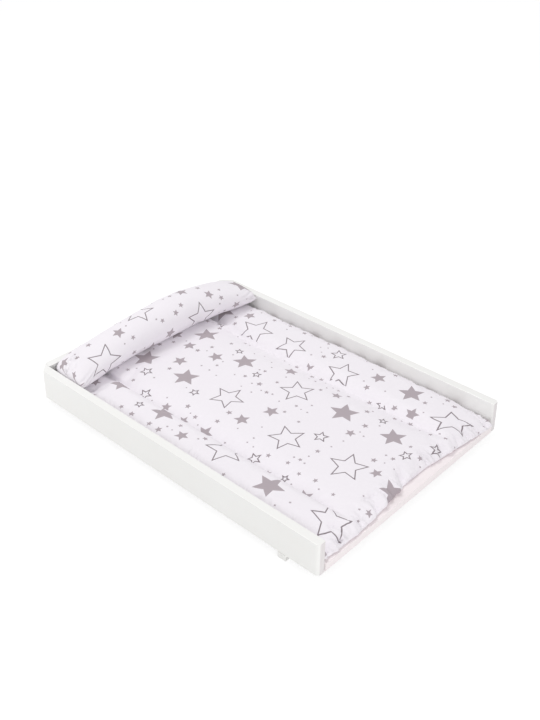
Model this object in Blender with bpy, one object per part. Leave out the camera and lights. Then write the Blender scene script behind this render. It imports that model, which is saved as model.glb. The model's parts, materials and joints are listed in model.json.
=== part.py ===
"""A changing board for a cot: a flat base with a rim on three sides, on two battens, and a soft mat in it.

Metres, +Z up. The board rests on the XY plane on its battens. The open foot end is at -Y, the head end
at +Y, the left side at -X and the right side at +X.
"""

import math

import bmesh
import bpy
from mathutils import Vector

# Units
MM = 0.001
HALF = 0.5

# Fits and shading
FIT_GAP = 0.3 * MM
CUT_OVERRUN = 2 * MM
SHARP_DEGREES = 35

# Board panels
BOARD_LENGTH = 750 * MM
BOARD_WIDTH = 540 * MM
RIM_THICKNESS = 18 * MM
RIM_HEIGHT = 65 * MM
BASE_THICKNESS = 16 * MM
HEAD_CORNER_CUT = 22 * MM
FOOT_OUTER_ROUND = 8 * MM
FOOT_INNER_ROUND = 4 * MM
LARGEST_ROUND_SHARE = 0.45
RIM_EDGE_EASE = 1.4 * MM
BASE_EDGE_EASE = 0.6 * MM

# Battens under the base
BATTEN_WIDTH = 18 * MM
BATTEN_DEPTH = 12 * MM
BATTEN_INSET = 70 * MM
BATTEN_EDGE_EASE = 0.8 * MM

# Cam locks and their bolts
CAM_RADIUS = 7.5 * MM
CAM_HEIGHT_SHARE = 0.78
CAM_EDGE_EASE = 0.6 * MM
CAM_SETBACK = 24.5 * MM
CAM_RECESS_WIDTH = 1.6 * MM
CAM_RECESS_LENGTH = 7 * MM
CAM_RECESS_DEPTH = 2.6 * MM
BOLT_RADIUS = 3.4 * MM
BOLT_SHAFT_RADIUS = 2.8 * MM
BOLT_NECK_RADIUS = 2 * MM
BOLT_NECK_LENGTH = 3 * MM
BOLT_HEAD_LENGTH = 3 * MM
BOLT_EASE = 0.6 * MM
BOLT_BITE_SHARE = 0.6
SIDE_CAM_SHARES = (-0.36, 0, 0.36)
HEAD_CAM_SHARES = (-0.3, 0.3)

# Dowels
DOWEL_RADIUS = 4 * MM
DOWEL_LENGTH = 30 * MM
DOWEL_EASE = 1 * MM
DOWEL_BITE_SHARE = 0.6
SIDE_DOWEL_SHARES = (-0.45, 0.2)
HEAD_DOWEL_SHARES = (-0.15, 0.15)

# Batten screws
SCREW_HEAD_RADIUS = 4 * MM
SCREW_HEAD_HEIGHT = 2.4 * MM
SCREW_SHANK_RADIUS = 2 * MM
SCREW_POINT_LENGTH = 3 * MM
SCREW_HEAD_SINK = 0.5 * MM
SCREW_BITE_SHARE = 0.78
SCREW_RECESS_WIDTH = 1 * MM
SCREW_RECESS_LENGTH = 4 * MM
SCREW_RECESS_DEPTH = 1.2 * MM
SCREW_SHARES = (-0.38, -0.13, 0.13, 0.38)

# Mat: heights are above the underside of its cover
CLOTH = 1 * MM
MAT_SIDE_GAP = 2 * MM
MAT_HEAD_GAP = 2 * MM
MAT_FOOT_SETBACK = 10 * MM
LEFT_CUSHION_WIDTH = 82 * MM
RIGHT_CUSHION_WIDTH = 118 * MM
CUSHION_CROWN = 33 * MM
CENTRE_CROWN = 26 * MM
SEAM_HEIGHT = 15 * MM
SIDE_EDGE_HEIGHT = 18 * MM
END_EDGE_HEIGHT = 11 * MM
PRESSED_HEIGHT = 24 * MM
FOOT_ROLL = 45 * MM
HEAD_ROLL = 30 * MM
SEAM_FADE = 70 * MM
PRESS_RISE = 26 * MM
CORNER_DRAW = 8 * MM
CORNER_POWER = 10
CHANNEL_POWER = 2.6
CHANNEL_ROUNDNESS = 0.65
HEM_WIDTH = 16 * MM
ELASTIC_WIDTH = 6 * MM
OUTER_CHANNEL_SHARES = (-0.86, -0.5, 0, 0.5, 0.86, 1)
CENTRE_CHANNEL_SHARES = (-0.9, -0.62, -0.2, 0.2, 0.62, 0.9, 1)
ROW_SHARES = (0, 0.014, 0.04, 0.085, 0.16, 0.28, 0.42, 0.58, 0.74, 0.88, 1)
PRESSED_ROW_SHARES = (0, 0.35, 0.7, 0.9, 1)

# Bolster
BOLSTER_DEPTH = 86 * MM
BOLSTER_END_DEPTH = 104 * MM
BOLSTER_HEIGHT = 84 * MM
BOLSTER_END_HEIGHT = 44 * MM
BOLSTER_PEAK_X = 50 * MM
BOLSTER_PEAK_POWER = 1.6
BOLSTER_SIT_SHARE = 0.92
BOLSTER_TAPER_POWER = 3
BOLSTER_RING_POINTS = 20
BOLSTER_LEAN_SHARE = 0.7
BOLSTER_PLACE_SHARES = (1, 0.994, 0.975, 0.94, 0.87, 0.7, 0.45, 0.2)
BOLSTER_DEPTH_SHARES = (0.25, 0.72, 0.88, 0.96, 1, 1, 1, 1)
BOLSTER_FULLNESS_SHARES = (0.1, 0.45, 0.7, 0.88, 1, 1, 1, 1)

# Worked out from the sizes above
half_width = BOARD_WIDTH * HALF
inner_half_width = half_width - RIM_THICKNESS
foot_y = -BOARD_LENGTH * HALF
head_y = BOARD_LENGTH * HALF
head_inner_y = head_y - RIM_THICKNESS
base_bottom = BATTEN_DEPTH + FIT_GAP
base_top = base_bottom + BASE_THICKNESS
rim_top = base_bottom + RIM_HEIGHT
joint_z = base_bottom + BASE_THICKNESS * HALF
foot_batten_y = foot_y + BATTEN_INSET + BATTEN_WIDTH * HALF
head_batten_y = head_y - BATTEN_INSET - BATTEN_WIDTH * HALF
mat_floor = base_top + FIT_GAP
mat_half_width = inner_half_width - MAT_SIDE_GAP
mat_foot_y = foot_y + MAT_FOOT_SETBACK
mat_head_y = head_inner_y - MAT_HEAD_GAP
left_seam_x = LEFT_CUSHION_WIDTH - mat_half_width
right_seam_x = mat_half_width - RIGHT_CUSHION_WIDTH


# Scene and materials


def clear_scene():
    for obj in list(bpy.data.objects):
        bpy.data.objects.remove(obj, do_unlink=True)


def painted(name, colour, roughness, metallic=0.0):
    material = bpy.data.materials.new(name)
    material.use_nodes = True
    shader = material.node_tree.nodes["Principled BSDF"]
    shader.inputs["Base Color"].default_value = (*colour, 1)
    shader.inputs["Roughness"].default_value = roughness
    shader.inputs["Metallic"].default_value = metallic
    material.diffuse_color = (*colour, 1)
    return material


# Building blocks


def add_object(name, bm, material, start=(0, 0, 0), direction=(0, 0, 1), spin=0.0):
    """The mesh as an object with its own +Z turned to direction, after a spin about it."""
    bmesh.ops.recalc_face_normals(bm, faces=bm.faces)
    mesh = bpy.data.meshes.new(name)
    bm.to_mesh(mesh)
    bm.free()
    return place_mesh(name, mesh, material, start, direction, spin)


def place_mesh(name, mesh, material, start, direction, spin):
    if material and not mesh.materials:
        mesh.materials.append(material)
    mesh.shade_smooth()
    mesh.set_sharp_from_angle(angle=math.radians(SHARP_DEGREES))
    obj = bpy.data.objects.new(name, mesh)
    obj.rotation_euler = Vector((0, 0, 1)).rotation_difference(Vector(direction)).to_euler()
    obj.rotation_euler.rotate_axis("Z", spin)
    obj.location = start
    bpy.context.collection.objects.link(obj)
    return obj


def prism_mesh(outline, low, high):
    bm = bmesh.new()
    face = bm.faces.new([bm.verts.new((x, y, low)) for x, y in outline])
    raised = bmesh.ops.extrude_face_region(bm, geom=[face])["geom"]
    bmesh.ops.translate(
        bm, verts=[v for v in raised if isinstance(v, bmesh.types.BMVert)], vec=(0, 0, high - low)
    )
    return bm


def rectangle(x_low, x_high, y_low, y_high):
    return [(x_low, y_low), (x_high, y_low), (x_high, y_high), (x_low, y_high)]


def rounded_outline(corners, radii, steps=5):
    """A right-angled outline with each corner rounded by its own radius."""
    points = []
    for index, radius in enumerate(radii):
        corner = Vector(corners[index])
        back = (Vector(corners[index - 1]) - corner).normalized()
        ahead = (Vector(corners[(index + 1) % len(corners)]) - corner).normalized()
        if not radius:
            points.append(tuple(corner))
            continue
        centre = corner + (back + ahead) * radius
        for step in range(steps + 1):
            angle = math.pi * HALF * step / steps
            points.append(tuple(centre - (ahead * math.cos(angle) + back * math.sin(angle)) * radius))
    return points


def turned_mesh(profile, sides=20):
    """A solid of revolution about +Z from (radius, height) points, the first and last on the axis."""
    bm = bmesh.new()
    rings = []
    for radius, height in profile:
        if not radius:
            rings.append([bm.verts.new((0, 0, height))])
            continue
        angles = [2 * math.pi * (side + HALF) / sides for side in range(sides)]
        rings.append([bm.verts.new((radius * math.cos(a), radius * math.sin(a), height)) for a in angles])
    for low, high in zip(rings, rings[1:]):
        join_rings(bm, low, high)
    return bm


def join_rings(bm, low, high):
    """Faces between two closed rings, either of which may be a single point."""
    for side in range(max(len(low), len(high))):
        around = side + 1
        corners = [low[side % len(low)], low[around % len(low)]]
        corners += [high[around % len(high)], high[side % len(high)]]
        bm.faces.new(list(dict.fromkeys(corners)))


def score(bm, point, normal):
    """Splits the faces that this plane crosses, so that a row of holes along it sits on their borders."""
    bmesh.ops.bisect_plane(
        bm, geom=bm.verts[:] + bm.edges[:] + bm.faces[:], plane_co=point, plane_no=normal
    )


def add_eased(name, bm, wood, width, in_joint):
    """A wooden piece with its sharp edges eased, but for those that lie in a joint."""
    weights = bm.edges.layers.float.new("bevel_weight_edge")
    for edge in bm.edges:
        sharp = edge.calc_face_angle() > math.radians(SHARP_DEGREES)
        hidden = all(in_joint(vert.co) for vert in edge.verts)
        edge[weights] = float(sharp and not hidden)
    obj = add_object(name, bm, wood)
    bevel = obj.modifiers.new("eased edges", "BEVEL")
    bevel.width = width
    bevel.segments = 2
    bevel.limit_method = "WEIGHT"
    return obj


def cut(target, cutter):
    cutter.hide_render = True
    cutter.display_type = "WIRE"
    boolean = target.modifiers.new(cutter.name, "BOOLEAN")
    boolean.operation = "DIFFERENCE"
    boolean.solver = "EXACT"
    boolean.object = cutter


def bore(target, radius, mouth, direction, depth):
    """Cuts a round blind hole from its mouth along direction."""
    start = Vector(mouth) - Vector(direction) * CUT_OVERRUN
    length = depth + CUT_OVERRUN
    profile = [(0, 0), (radius, 0), (radius, length), (0, length)]
    cut(target, add_object(f"cutter_{target.name}", turned_mesh(profile), None, start, direction))


def cross_recess(target, length, width, depth):
    """Cuts a cross into the face that lies at local height 0."""
    arm = length * HALF
    slim = width * HALF
    outline = [(arm, -slim), (arm, slim), (slim, slim), (slim, arm), (-slim, arm), (-slim, slim)]
    outline += [(-x, -y) for x, y in outline]
    cut(target, add_object("cutter_recess", prism_mesh(outline, -CUT_OVERRUN, depth), None))


def finished_mesh(obj, name):
    """The evaluated mesh of a pattern piece, which is then removed with its cutters."""
    helpers = [modifier.object for modifier in obj.modifiers if modifier.type == "BOOLEAN"]
    bpy.context.view_layer.update()
    mesh = bpy.data.meshes.new_from_object(obj.evaluated_get(bpy.context.evaluated_depsgraph_get()))
    mesh.name = name
    for helper in [obj, *helpers]:
        bpy.data.objects.remove(helper, do_unlink=True)
    return mesh


# Panels


def cut_head_corner(bm, side):
    """Takes off the rim's corner at 45 degrees, whichever panels reach into it."""
    result = bmesh.ops.bisect_plane(
        bm,
        geom=bm.verts[:] + bm.edges[:] + bm.faces[:],
        plane_co=(side * (half_width - HEAD_CORNER_CUT), head_y, 0),
        plane_no=(side, 1, 0),
        clear_outer=True,
    )
    rim = [item for item in result["geom_cut"] if isinstance(item, bmesh.types.BMEdge)]
    if rim:
        bmesh.ops.holes_fill(bm, edges=rim)


def make_side_panel(name, side, wood):
    widest = RIM_THICKNESS * LARGEST_ROUND_SHARE
    outer_round = min(FOOT_OUTER_ROUND, widest)
    inner_round = min(FOOT_INNER_ROUND, widest)
    outer = side * half_width
    inner = side * inner_half_width
    corners = [(inner, foot_y), (outer, foot_y), (outer, head_y), (inner, head_y)]
    outline = rounded_outline(corners, (inner_round, outer_round, 0, 0))
    bm = prism_mesh(outline, base_bottom, rim_top)
    cut_head_corner(bm, side)
    score(bm, (0, 0, joint_z), (0, 0, 1))
    score(bm, (0, head_inner_y, 0), (0, 1, 0))

    def meets_head_panel(point):
        return abs(point.x) < inner_half_width + FIT_GAP and point.y > head_inner_y - FIT_GAP

    return add_eased(name, bm, wood, RIM_EDGE_EASE, meets_head_panel)


def make_head_panel(wood):
    reach = inner_half_width - FIT_GAP
    bm = prism_mesh(rectangle(-reach, reach, head_inner_y, head_y), base_bottom, rim_top)
    for side in (-1, 1):
        cut_head_corner(bm, side)
    score(bm, (0, 0, joint_z), (0, 0, 1))

    def meets_side_panel(point):
        return abs(point.x) > reach - FIT_GAP

    return add_eased("head_panel", bm, wood, RIM_EDGE_EASE, meets_side_panel)


def make_base_panel(wood):
    reach = inner_half_width - FIT_GAP
    bm = prism_mesh(rectangle(-reach, reach, foot_y, head_inner_y - FIT_GAP), base_bottom, base_top)
    score(bm, (0, 0, joint_z), (0, 0, 1))
    for side in (-1, 1):
        score(bm, (side * (inner_half_width - CAM_SETBACK), 0, 0), (1, 0, 0))
    for row_y in (foot_batten_y, head_batten_y, head_inner_y - CAM_SETBACK):
        score(bm, (0, row_y, 0), (0, 1, 0))

    def meets_rim(point):
        return abs(point.x) > reach - FIT_GAP or point.y > head_inner_y - 2 * FIT_GAP

    return add_eased("base_panel", bm, wood, BASE_EDGE_EASE, meets_rim)


def make_batten(name, y, reach, wood):
    outline = rectangle(-reach, reach, y - BATTEN_WIDTH * HALF, y + BATTEN_WIDTH * HALF)
    bm = prism_mesh(outline, 0, BATTEN_DEPTH)
    score(bm, (0, y, 0), (0, 1, 0))

    def meets_base(point):
        return point.z > BATTEN_DEPTH - FIT_GAP

    return add_eased(name, bm, wood, BATTEN_EDGE_EASE, meets_base)


# Joints between the base and the rim


def cam_mesh(metal):
    """A cam with its slotted face at local height 0 and its bolt coming in from local +X."""
    height = BASE_THICKNESS * CAM_HEIGHT_SHARE
    eased = CAM_RADIUS - CAM_EDGE_EASE
    profile = [(0, 0), (eased, 0), (CAM_RADIUS, CAM_EDGE_EASE), (CAM_RADIUS, height), (0, height)]
    cam = add_object("cam_pattern", turned_mesh(profile, 28), metal)
    cross_recess(cam, CAM_RECESS_LENGTH, CAM_RECESS_WIDTH, CAM_RECESS_DEPTH)
    reach = CAM_RADIUS + BOLT_HEAD_LENGTH * HALF + FIT_GAP
    mouth = (CAM_RADIUS, 0, BASE_THICKNESS * HALF)
    bore(cam, BOLT_RADIUS + FIT_GAP, mouth, (-1, 0, 0), reach)
    return finished_mesh(cam, "cam_lock")


def bolt_profile():
    """A bolt along +Z: thread in the rim panel, shaft in the base, neck and head in the cam."""
    bite = RIM_THICKNESS * BOLT_BITE_SHARE
    tip = bite + CAM_SETBACK + BOLT_HEAD_LENGTH * HALF
    head = tip - BOLT_HEAD_LENGTH
    neck = head - BOLT_NECK_LENGTH
    return [
        (0, 0),
        (BOLT_RADIUS - BOLT_EASE, 0),
        (BOLT_RADIUS, BOLT_EASE),
        (BOLT_RADIUS, bite),
        (BOLT_SHAFT_RADIUS, bite),
        (BOLT_SHAFT_RADIUS, neck - BOLT_EASE),
        (BOLT_NECK_RADIUS, neck),
        (BOLT_NECK_RADIUS, head),
        (BOLT_RADIUS, head),
        (BOLT_RADIUS, tip - BOLT_EASE),
        (BOLT_RADIUS - BOLT_EASE, tip),
        (0, tip),
    ]


def join_with_cam(label, base, panel, seam, outward, cam_shape, metal):
    """One cam lock in the base and its bolt in the rim panel. seam is on the panel's inner face."""
    seam = Vector(seam)
    outward = Vector(outward)
    bite = RIM_THICKNESS * BOLT_BITE_SHARE
    centre = seam - outward * CAM_SETBACK
    foot = Vector((centre.x, centre.y, base_bottom))
    spin = math.atan2(outward.y, outward.x)
    place_mesh(f"cam_lock_{label}", cam_shape, metal, foot, (0, 0, 1), spin)
    pocket = BASE_THICKNESS * CAM_HEIGHT_SHARE + FIT_GAP
    bore(base, CAM_RADIUS + FIT_GAP, foot, (0, 0, 1), pocket)
    bore(base, BOLT_RADIUS + FIT_GAP, seam, -outward, CAM_SETBACK)
    bore(panel, BOLT_RADIUS + FIT_GAP, seam, outward, bite + FIT_GAP)
    bolt = turned_mesh(bolt_profile(), 16)
    add_object(f"cam_bolt_{label}", bolt, metal, seam + outward * bite, -outward)


def join_with_dowel(label, base, panel, seam, outward, wood):
    seam = Vector(seam)
    outward = Vector(outward)
    bite = RIM_THICKNESS * DOWEL_BITE_SHARE
    slim = DOWEL_RADIUS - DOWEL_EASE
    profile = [(0, 0), (slim, 0), (DOWEL_RADIUS, DOWEL_EASE)]
    profile += [(radius, DOWEL_LENGTH - height) for radius, height in reversed(profile)]
    add_object(f"dowel_{label}", turned_mesh(profile, 16), wood, seam + outward * bite, -outward)
    bore(base, DOWEL_RADIUS + FIT_GAP, seam, -outward, DOWEL_LENGTH - bite + FIT_GAP)
    bore(panel, DOWEL_RADIUS + FIT_GAP, seam, outward, bite + FIT_GAP)


def join_rim(base, panels, metal, wood):
    """Cam locks and dowels between the base and each rim panel."""
    cam_shape = cam_mesh(metal)
    for label, side in (("left", -1), ("right", 1)):
        for number, share in enumerate(SIDE_CAM_SHARES, 1):
            seam = (side * inner_half_width, share * BOARD_LENGTH, joint_z)
            join_with_cam(f"{label}_{number}", base, panels[label], seam, (side, 0, 0), cam_shape, metal)
        for number, share in enumerate(SIDE_DOWEL_SHARES, 1):
            seam = (side * inner_half_width, share * BOARD_LENGTH, joint_z)
            join_with_dowel(f"{label}_{number}", base, panels[label], seam, (side, 0, 0), wood)
    for number, share in enumerate(HEAD_CAM_SHARES, 1):
        seam = (share * BOARD_WIDTH, head_inner_y, joint_z)
        join_with_cam(f"head_{number}", base, panels["head"], seam, (0, 1, 0), cam_shape, metal)
    for number, share in enumerate(HEAD_DOWEL_SHARES, 1):
        seam = (share * BOARD_WIDTH, head_inner_y, joint_z)
        join_with_dowel(f"head_{number}", base, panels["head"], seam, (0, 1, 0), wood)


# Battens and their screws


def screw_profile(gap, head_face):
    """Half section of the screw, or of its hole when gap is added all round."""
    tip = BATTEN_DEPTH + FIT_GAP + BASE_THICKNESS * SCREW_BITE_SHARE + gap
    neck = SCREW_HEAD_SINK + SCREW_HEAD_HEIGHT
    shank = SCREW_SHANK_RADIUS + gap
    profile = [(0, head_face), (SCREW_HEAD_RADIUS + gap, head_face)]
    if gap:
        profile.append((SCREW_HEAD_RADIUS + gap, SCREW_HEAD_SINK))
        return profile + [(shank, neck), (shank, tip), (0, tip)]
    return profile + [(shank, neck), (shank, tip - SCREW_POINT_LENGTH), (0, tip)]


def screw_mesh(metal):
    """A screw whose head face is moved to local height 0 for its recess."""
    profile = [(radius, height - SCREW_HEAD_SINK) for radius, height in screw_profile(0, SCREW_HEAD_SINK)]
    screw = add_object("screw_pattern", turned_mesh(profile, 16), metal)
    cross_recess(screw, SCREW_RECESS_LENGTH, SCREW_RECESS_WIDTH, SCREW_RECESS_DEPTH)
    return finished_mesh(screw, "batten_screw")


def screw_batten(label, batten, base, y, screw_shape, metal):
    for number, share in enumerate(SCREW_SHARES, 1):
        x = share * BOARD_WIDTH
        name = f"{label}_batten_screw_{number}"
        place_mesh(name, screw_shape, metal, (x, y, SCREW_HEAD_SINK), (0, 0, 1), 0)
        for target in (batten, base):
            hole = turned_mesh(screw_profile(FIT_GAP, -CUT_OVERRUN), 16)
            cut(target, add_object(f"cutter_{name}", hole, None, (x, y, 0)))


# Bolster shape, which the mat under it follows


def bolster_half_depth(x):
    taper = min(abs(x) / mat_half_width, 1) ** BOLSTER_TAPER_POWER
    return HALF * (BOLSTER_DEPTH + (BOLSTER_END_DEPTH - BOLSTER_DEPTH) * taper)


def bolster_half_height(x):
    """The roll is tallest a little to the right of its middle and thins towards both ends."""
    reach = mat_half_width - math.copysign(BOLSTER_PEAK_X, x - BOLSTER_PEAK_X)
    taper = min(abs(x - BOLSTER_PEAK_X) / reach, 1) ** BOLSTER_PEAK_POWER
    return HALF * (BOLSTER_HEIGHT + (BOLSTER_END_HEIGHT - BOLSTER_HEIGHT) * taper)


def bolster_front_y(x):
    return mat_head_y - 2 * bolster_half_depth(x)


def bolster_rings():
    """Rings of outer points from the left end to the right, cut flat where the bolster sits on the mat."""
    right = list(zip(BOLSTER_PLACE_SHARES, BOLSTER_DEPTH_SHARES, BOLSTER_FULLNESS_SHARES))
    left = [(-place, depth, fullness) for place, depth, fullness in right]
    seat = PRESSED_HEIGHT + FIT_GAP
    rings = []
    for place, depth, fullness in [*left, (0, 1, 1), *reversed(right)]:
        x = place * mat_half_width
        deep = bolster_half_depth(x)
        tall = bolster_half_height(x)
        middle_y = mat_head_y - deep - deep * (1 - depth) * BOLSTER_LEAN_SHARE
        ring = []
        for point in range(BOLSTER_RING_POINTS):
            angle = 2 * math.pi * (point + HALF) / BOLSTER_RING_POINTS
            y = middle_y + deep * depth * math.cos(angle)
            z = seat + tall * BOLSTER_SIT_SHARE + tall * fullness * math.sin(angle)
            ring.append((x, y, max(z, seat)))
        rings.append(ring)
    return rings


# Mat shape


def smooth(share):
    share = min(max(share, 0), 1)
    return share * share * (3 - 2 * share)


def swell(share):
    """Fullness of a stuffed channel from its seam (share -1 or 1) to its middle (0)."""
    return (1 - min(abs(share), 1) ** CHANNEL_POWER) ** CHANNEL_ROUNDNESS


def channel_points():
    """(x, height) across the mat, and the numbers of the two seam columns."""
    channels = (
        (-mat_half_width, left_seam_x, SIDE_EDGE_HEIGHT, SEAM_HEIGHT, CUSHION_CROWN, OUTER_CHANNEL_SHARES),
        (left_seam_x, right_seam_x, SEAM_HEIGHT, SEAM_HEIGHT, CENTRE_CROWN, CENTRE_CHANNEL_SHARES),
        (right_seam_x, mat_half_width, SEAM_HEIGHT, SIDE_EDGE_HEIGHT, CUSHION_CROWN, OUTER_CHANNEL_SHARES),
    )
    points = [(-mat_half_width, SIDE_EDGE_HEIGHT)]
    seams = []
    for low_x, high_x, low_z, high_z, crown, shares in channels:
        for share in shares:
            across = (share + 1) * HALF
            floor = low_z + (high_z - low_z) * across
            points.append((low_x + (high_x - low_x) * across, floor + (crown - floor) * swell(share)))
        seams.append(len(points) - 1)
    return points, seams[:2]


def mat_height(x, y, channel_height):
    """Height of the cover's top at x, y, where the channels alone would stand at channel_height."""
    from_foot = y - mat_foot_y
    from_head = mat_head_y - y
    plain = SIDE_EDGE_HEIGHT + (CENTRE_CROWN - SIDE_EDGE_HEIGHT) * swell(x / mat_half_width)
    z = plain + (channel_height - plain) * smooth(from_foot / SEAM_FADE)
    z = END_EDGE_HEIGHT + (z - END_EDGE_HEIGHT) * swell(1 - min(from_foot / FOOT_ROLL, 1))
    pressed = smooth((y - bolster_front_y(x)) / PRESS_RISE + 1)
    z += (min(z, PRESSED_HEIGHT) - z) * pressed
    return END_EDGE_HEIGHT + (z - END_EDGE_HEIGHT) * swell(1 - min(from_head / HEAD_ROLL, 1))


def mat_grid():
    """Columns of points on the cover's top from left to right, each from foot to head, and the seams."""
    across, seams = channel_points()
    middle_y = (mat_head_y + mat_foot_y) * HALF
    half_length = (mat_head_y - mat_foot_y) * HALF
    columns = []
    for x, channel_height in across:
        rise_y = bolster_front_y(x) - PRESS_RISE
        rows = [mat_foot_y + share * (rise_y - mat_foot_y) for share in ROW_SHARES]
        front_y = bolster_front_y(x)
        rows.append(front_y - PRESS_RISE * HALF)
        rows += [front_y + share * (mat_head_y - front_y) for share in PRESSED_ROW_SHARES]
        column = []
        for y in rows:
            along = (y - middle_y) / half_length
            corner = abs(x / mat_half_width * along) ** CORNER_POWER
            pulled_x = x - math.copysign(CORNER_DRAW * corner, x)
            pulled_y = y - math.copysign(CORNER_DRAW * corner, along)
            column.append((pulled_x, pulled_y, mat_height(x, y, channel_height)))
        columns.append(column)
    return columns, seams


def grid_faces(bm, columns):
    for left, right in zip(columns, columns[1:]):
        for row in range(len(left) - 1):
            bm.faces.new((left[row], right[row], right[row + 1], left[row + 1]))


def border_of(columns):
    """The grid's outer loop, anticlockwise from above."""
    foot = [column[0] for column in columns]
    head = [column[-1] for column in columns]
    return foot + columns[-1][1:-1] + head[::-1] + columns[0][-2:0:-1]


def border_loop(bm, border, inset, height):
    """The border's loop again, this far inside it and at this height."""
    middle_y = (mat_head_y + mat_foot_y) * HALF
    keep_x = 1 - inset / mat_half_width
    keep_y = 1 - inset / (mat_head_y - middle_y)
    return [bm.verts.new((x * keep_x, middle_y + (y - middle_y) * keep_y, height)) for x, y, z in border]


def split_quads(bm):
    """Splits every four-sided face the same way, so a surface and its inner copies stay parallel."""
    bmesh.ops.triangulate(bm, faces=bm.faces, quad_method="FIXED")
    bm.normal_update()


def inset_point(vert, depth):
    return vert.co - vert.normal * depth * vert.calc_shell_factor()


def thicken(bm, depth):
    """Gives an open surface a second skin at this depth inside it, and closes the rim between them."""
    outer_faces = bm.faces[:]
    rim = [edge for edge in bm.edges if edge.is_boundary]
    inner = {vert: inset_point(vert, depth) for vert in bm.verts}
    inner = {vert: bm.verts.new(place) for vert, place in inner.items()}
    for face in outer_faces:
        bm.faces.new([inner[vert] for vert in reversed(face.verts)])
    for edge in rim:
        start, end = edge.verts
        bm.faces.new((start, end, inner[end], inner[start]))


def cover_surface():
    """The outside of the mat's cover: top, skirt and the hem turned under, with its grid of top vertices."""
    grid, seams = mat_grid()
    bm = bmesh.new()
    columns = [[bm.verts.new(point) for point in column] for column in grid]
    grid_faces(bm, columns)
    border = border_of(columns)
    places = [tuple(vert.co) for vert in border]
    skirt = border_loop(bm, places, 0, 0)
    hem = border_loop(bm, places, HEM_WIDTH, 0)
    join_rings(bm, skirt, border)
    join_rings(bm, hem, skirt)
    split_quads(bm)
    return bm, columns, seams, places


def filling_mesh(columns, floor):
    """A closed solid under a grid of points, with a flat floor."""
    bm = bmesh.new()
    top = [[bm.verts.new(point) for point in column] for column in columns]
    bottom = [[bm.verts.new((x, y, floor)) for x, y, z in column] for column in columns]
    grid_faces(bm, top)
    grid_faces(bm, bottom)
    join_rings(bm, border_of(bottom), border_of(top))
    split_quads(bm)
    return bm


def make_mat(print_cloth, plain_cloth, wadding, rubber, lift):
    """The cover, its three stuffed channels, the plain underside and the elastic in the hem."""
    surface, columns, seams, border = cover_surface()
    depth = CLOTH + FIT_GAP
    inside = [[tuple(inset_point(vert, depth)) for vert in column] for column in columns]
    thicken(surface, CLOTH)
    place_on(lift, add_object("mat_cover", surface, print_cloth))

    floor = 2 * (CLOTH + FIT_GAP)
    first, second = seams
    stretches = (
        ("left_cushion_filling", 0, first),
        ("centre_filling", first, second),
        ("right_cushion_filling", second, len(inside) - 1),
    )
    for name, low, high in stretches:
        part = [list(column) for column in inside[low : high + 1]]
        if low:
            part[0] = [(x + FIT_GAP * HALF, y, z) for x, y, z in part[0]]
        if high < len(inside) - 1:
            part[-1] = [(x - FIT_GAP * HALF, y, z) for x, y, z in part[-1]]
        place_on(lift, add_object(name, filling_mesh(part, floor), wadding))

    reach_x = mat_half_width - CORNER_DRAW - CLOTH - FIT_GAP
    low_y = mat_foot_y + CORNER_DRAW + CLOTH + FIT_GAP
    high_y = mat_head_y - CORNER_DRAW - CLOTH - FIT_GAP
    sheet = prism_mesh(
        rectangle(-reach_x, reach_x, low_y, high_y), CLOTH + FIT_GAP, 2 * CLOTH + FIT_GAP
    )
    place_on(lift, add_object("mat_base_cloth", sheet, plain_cloth))
    place_on(lift, add_object("hem_elastic", elastic_mesh(border), rubber))


def elastic_mesh(border):
    """A flat band that lies just inside the hem, all the way round."""
    outer = HEM_WIDTH + FIT_GAP
    inner = outer + ELASTIC_WIDTH
    bm = bmesh.new()
    outer_low = border_loop(bm, border, outer, 0)
    outer_high = border_loop(bm, border, outer, CLOTH)
    inner_low = border_loop(bm, border, inner, 0)
    inner_high = border_loop(bm, border, inner, CLOTH)
    join_rings(bm, outer_low, outer_high)
    join_rings(bm, outer_high, inner_high)
    join_rings(bm, inner_high, inner_low)
    join_rings(bm, inner_low, outer_low)
    return bm


def make_bolster(print_cloth, wadding, lift):
    """The bolster's cover, with the small opening that its gathered ends leave, and its filling."""
    surface = bmesh.new()
    rings = [[surface.verts.new(point) for point in ring] for ring in bolster_rings()]
    for left, right in zip(rings, rings[1:]):
        join_rings(surface, left, right)
    bmesh.ops.recalc_face_normals(surface, faces=surface.faces)
    split_quads(surface)
    depth = CLOTH + FIT_GAP
    inside = [[tuple(inset_point(vert, depth)) for vert in ring] for ring in rings]
    thicken(surface, CLOTH)
    place_on(lift, add_object("bolster_cover", surface, print_cloth))

    filling = bmesh.new()
    kept = [[filling.verts.new(point) for point in ring] for ring in inside[1:-1]]
    ends = [[filling.verts.new(middle_of(ring))] for ring in (inside[1], inside[-2])]
    for left, right in zip([ends[0], *kept], [*kept, ends[1]]):
        join_rings(filling, left, right)
    split_quads(filling)
    place_on(lift, add_object("bolster_filling", filling, wadding))


def middle_of(points):
    return tuple(sum(values) / len(points) for values in zip(*points))


def place_on(parent, obj):
    obj.parent = parent


# The whole board


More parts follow.
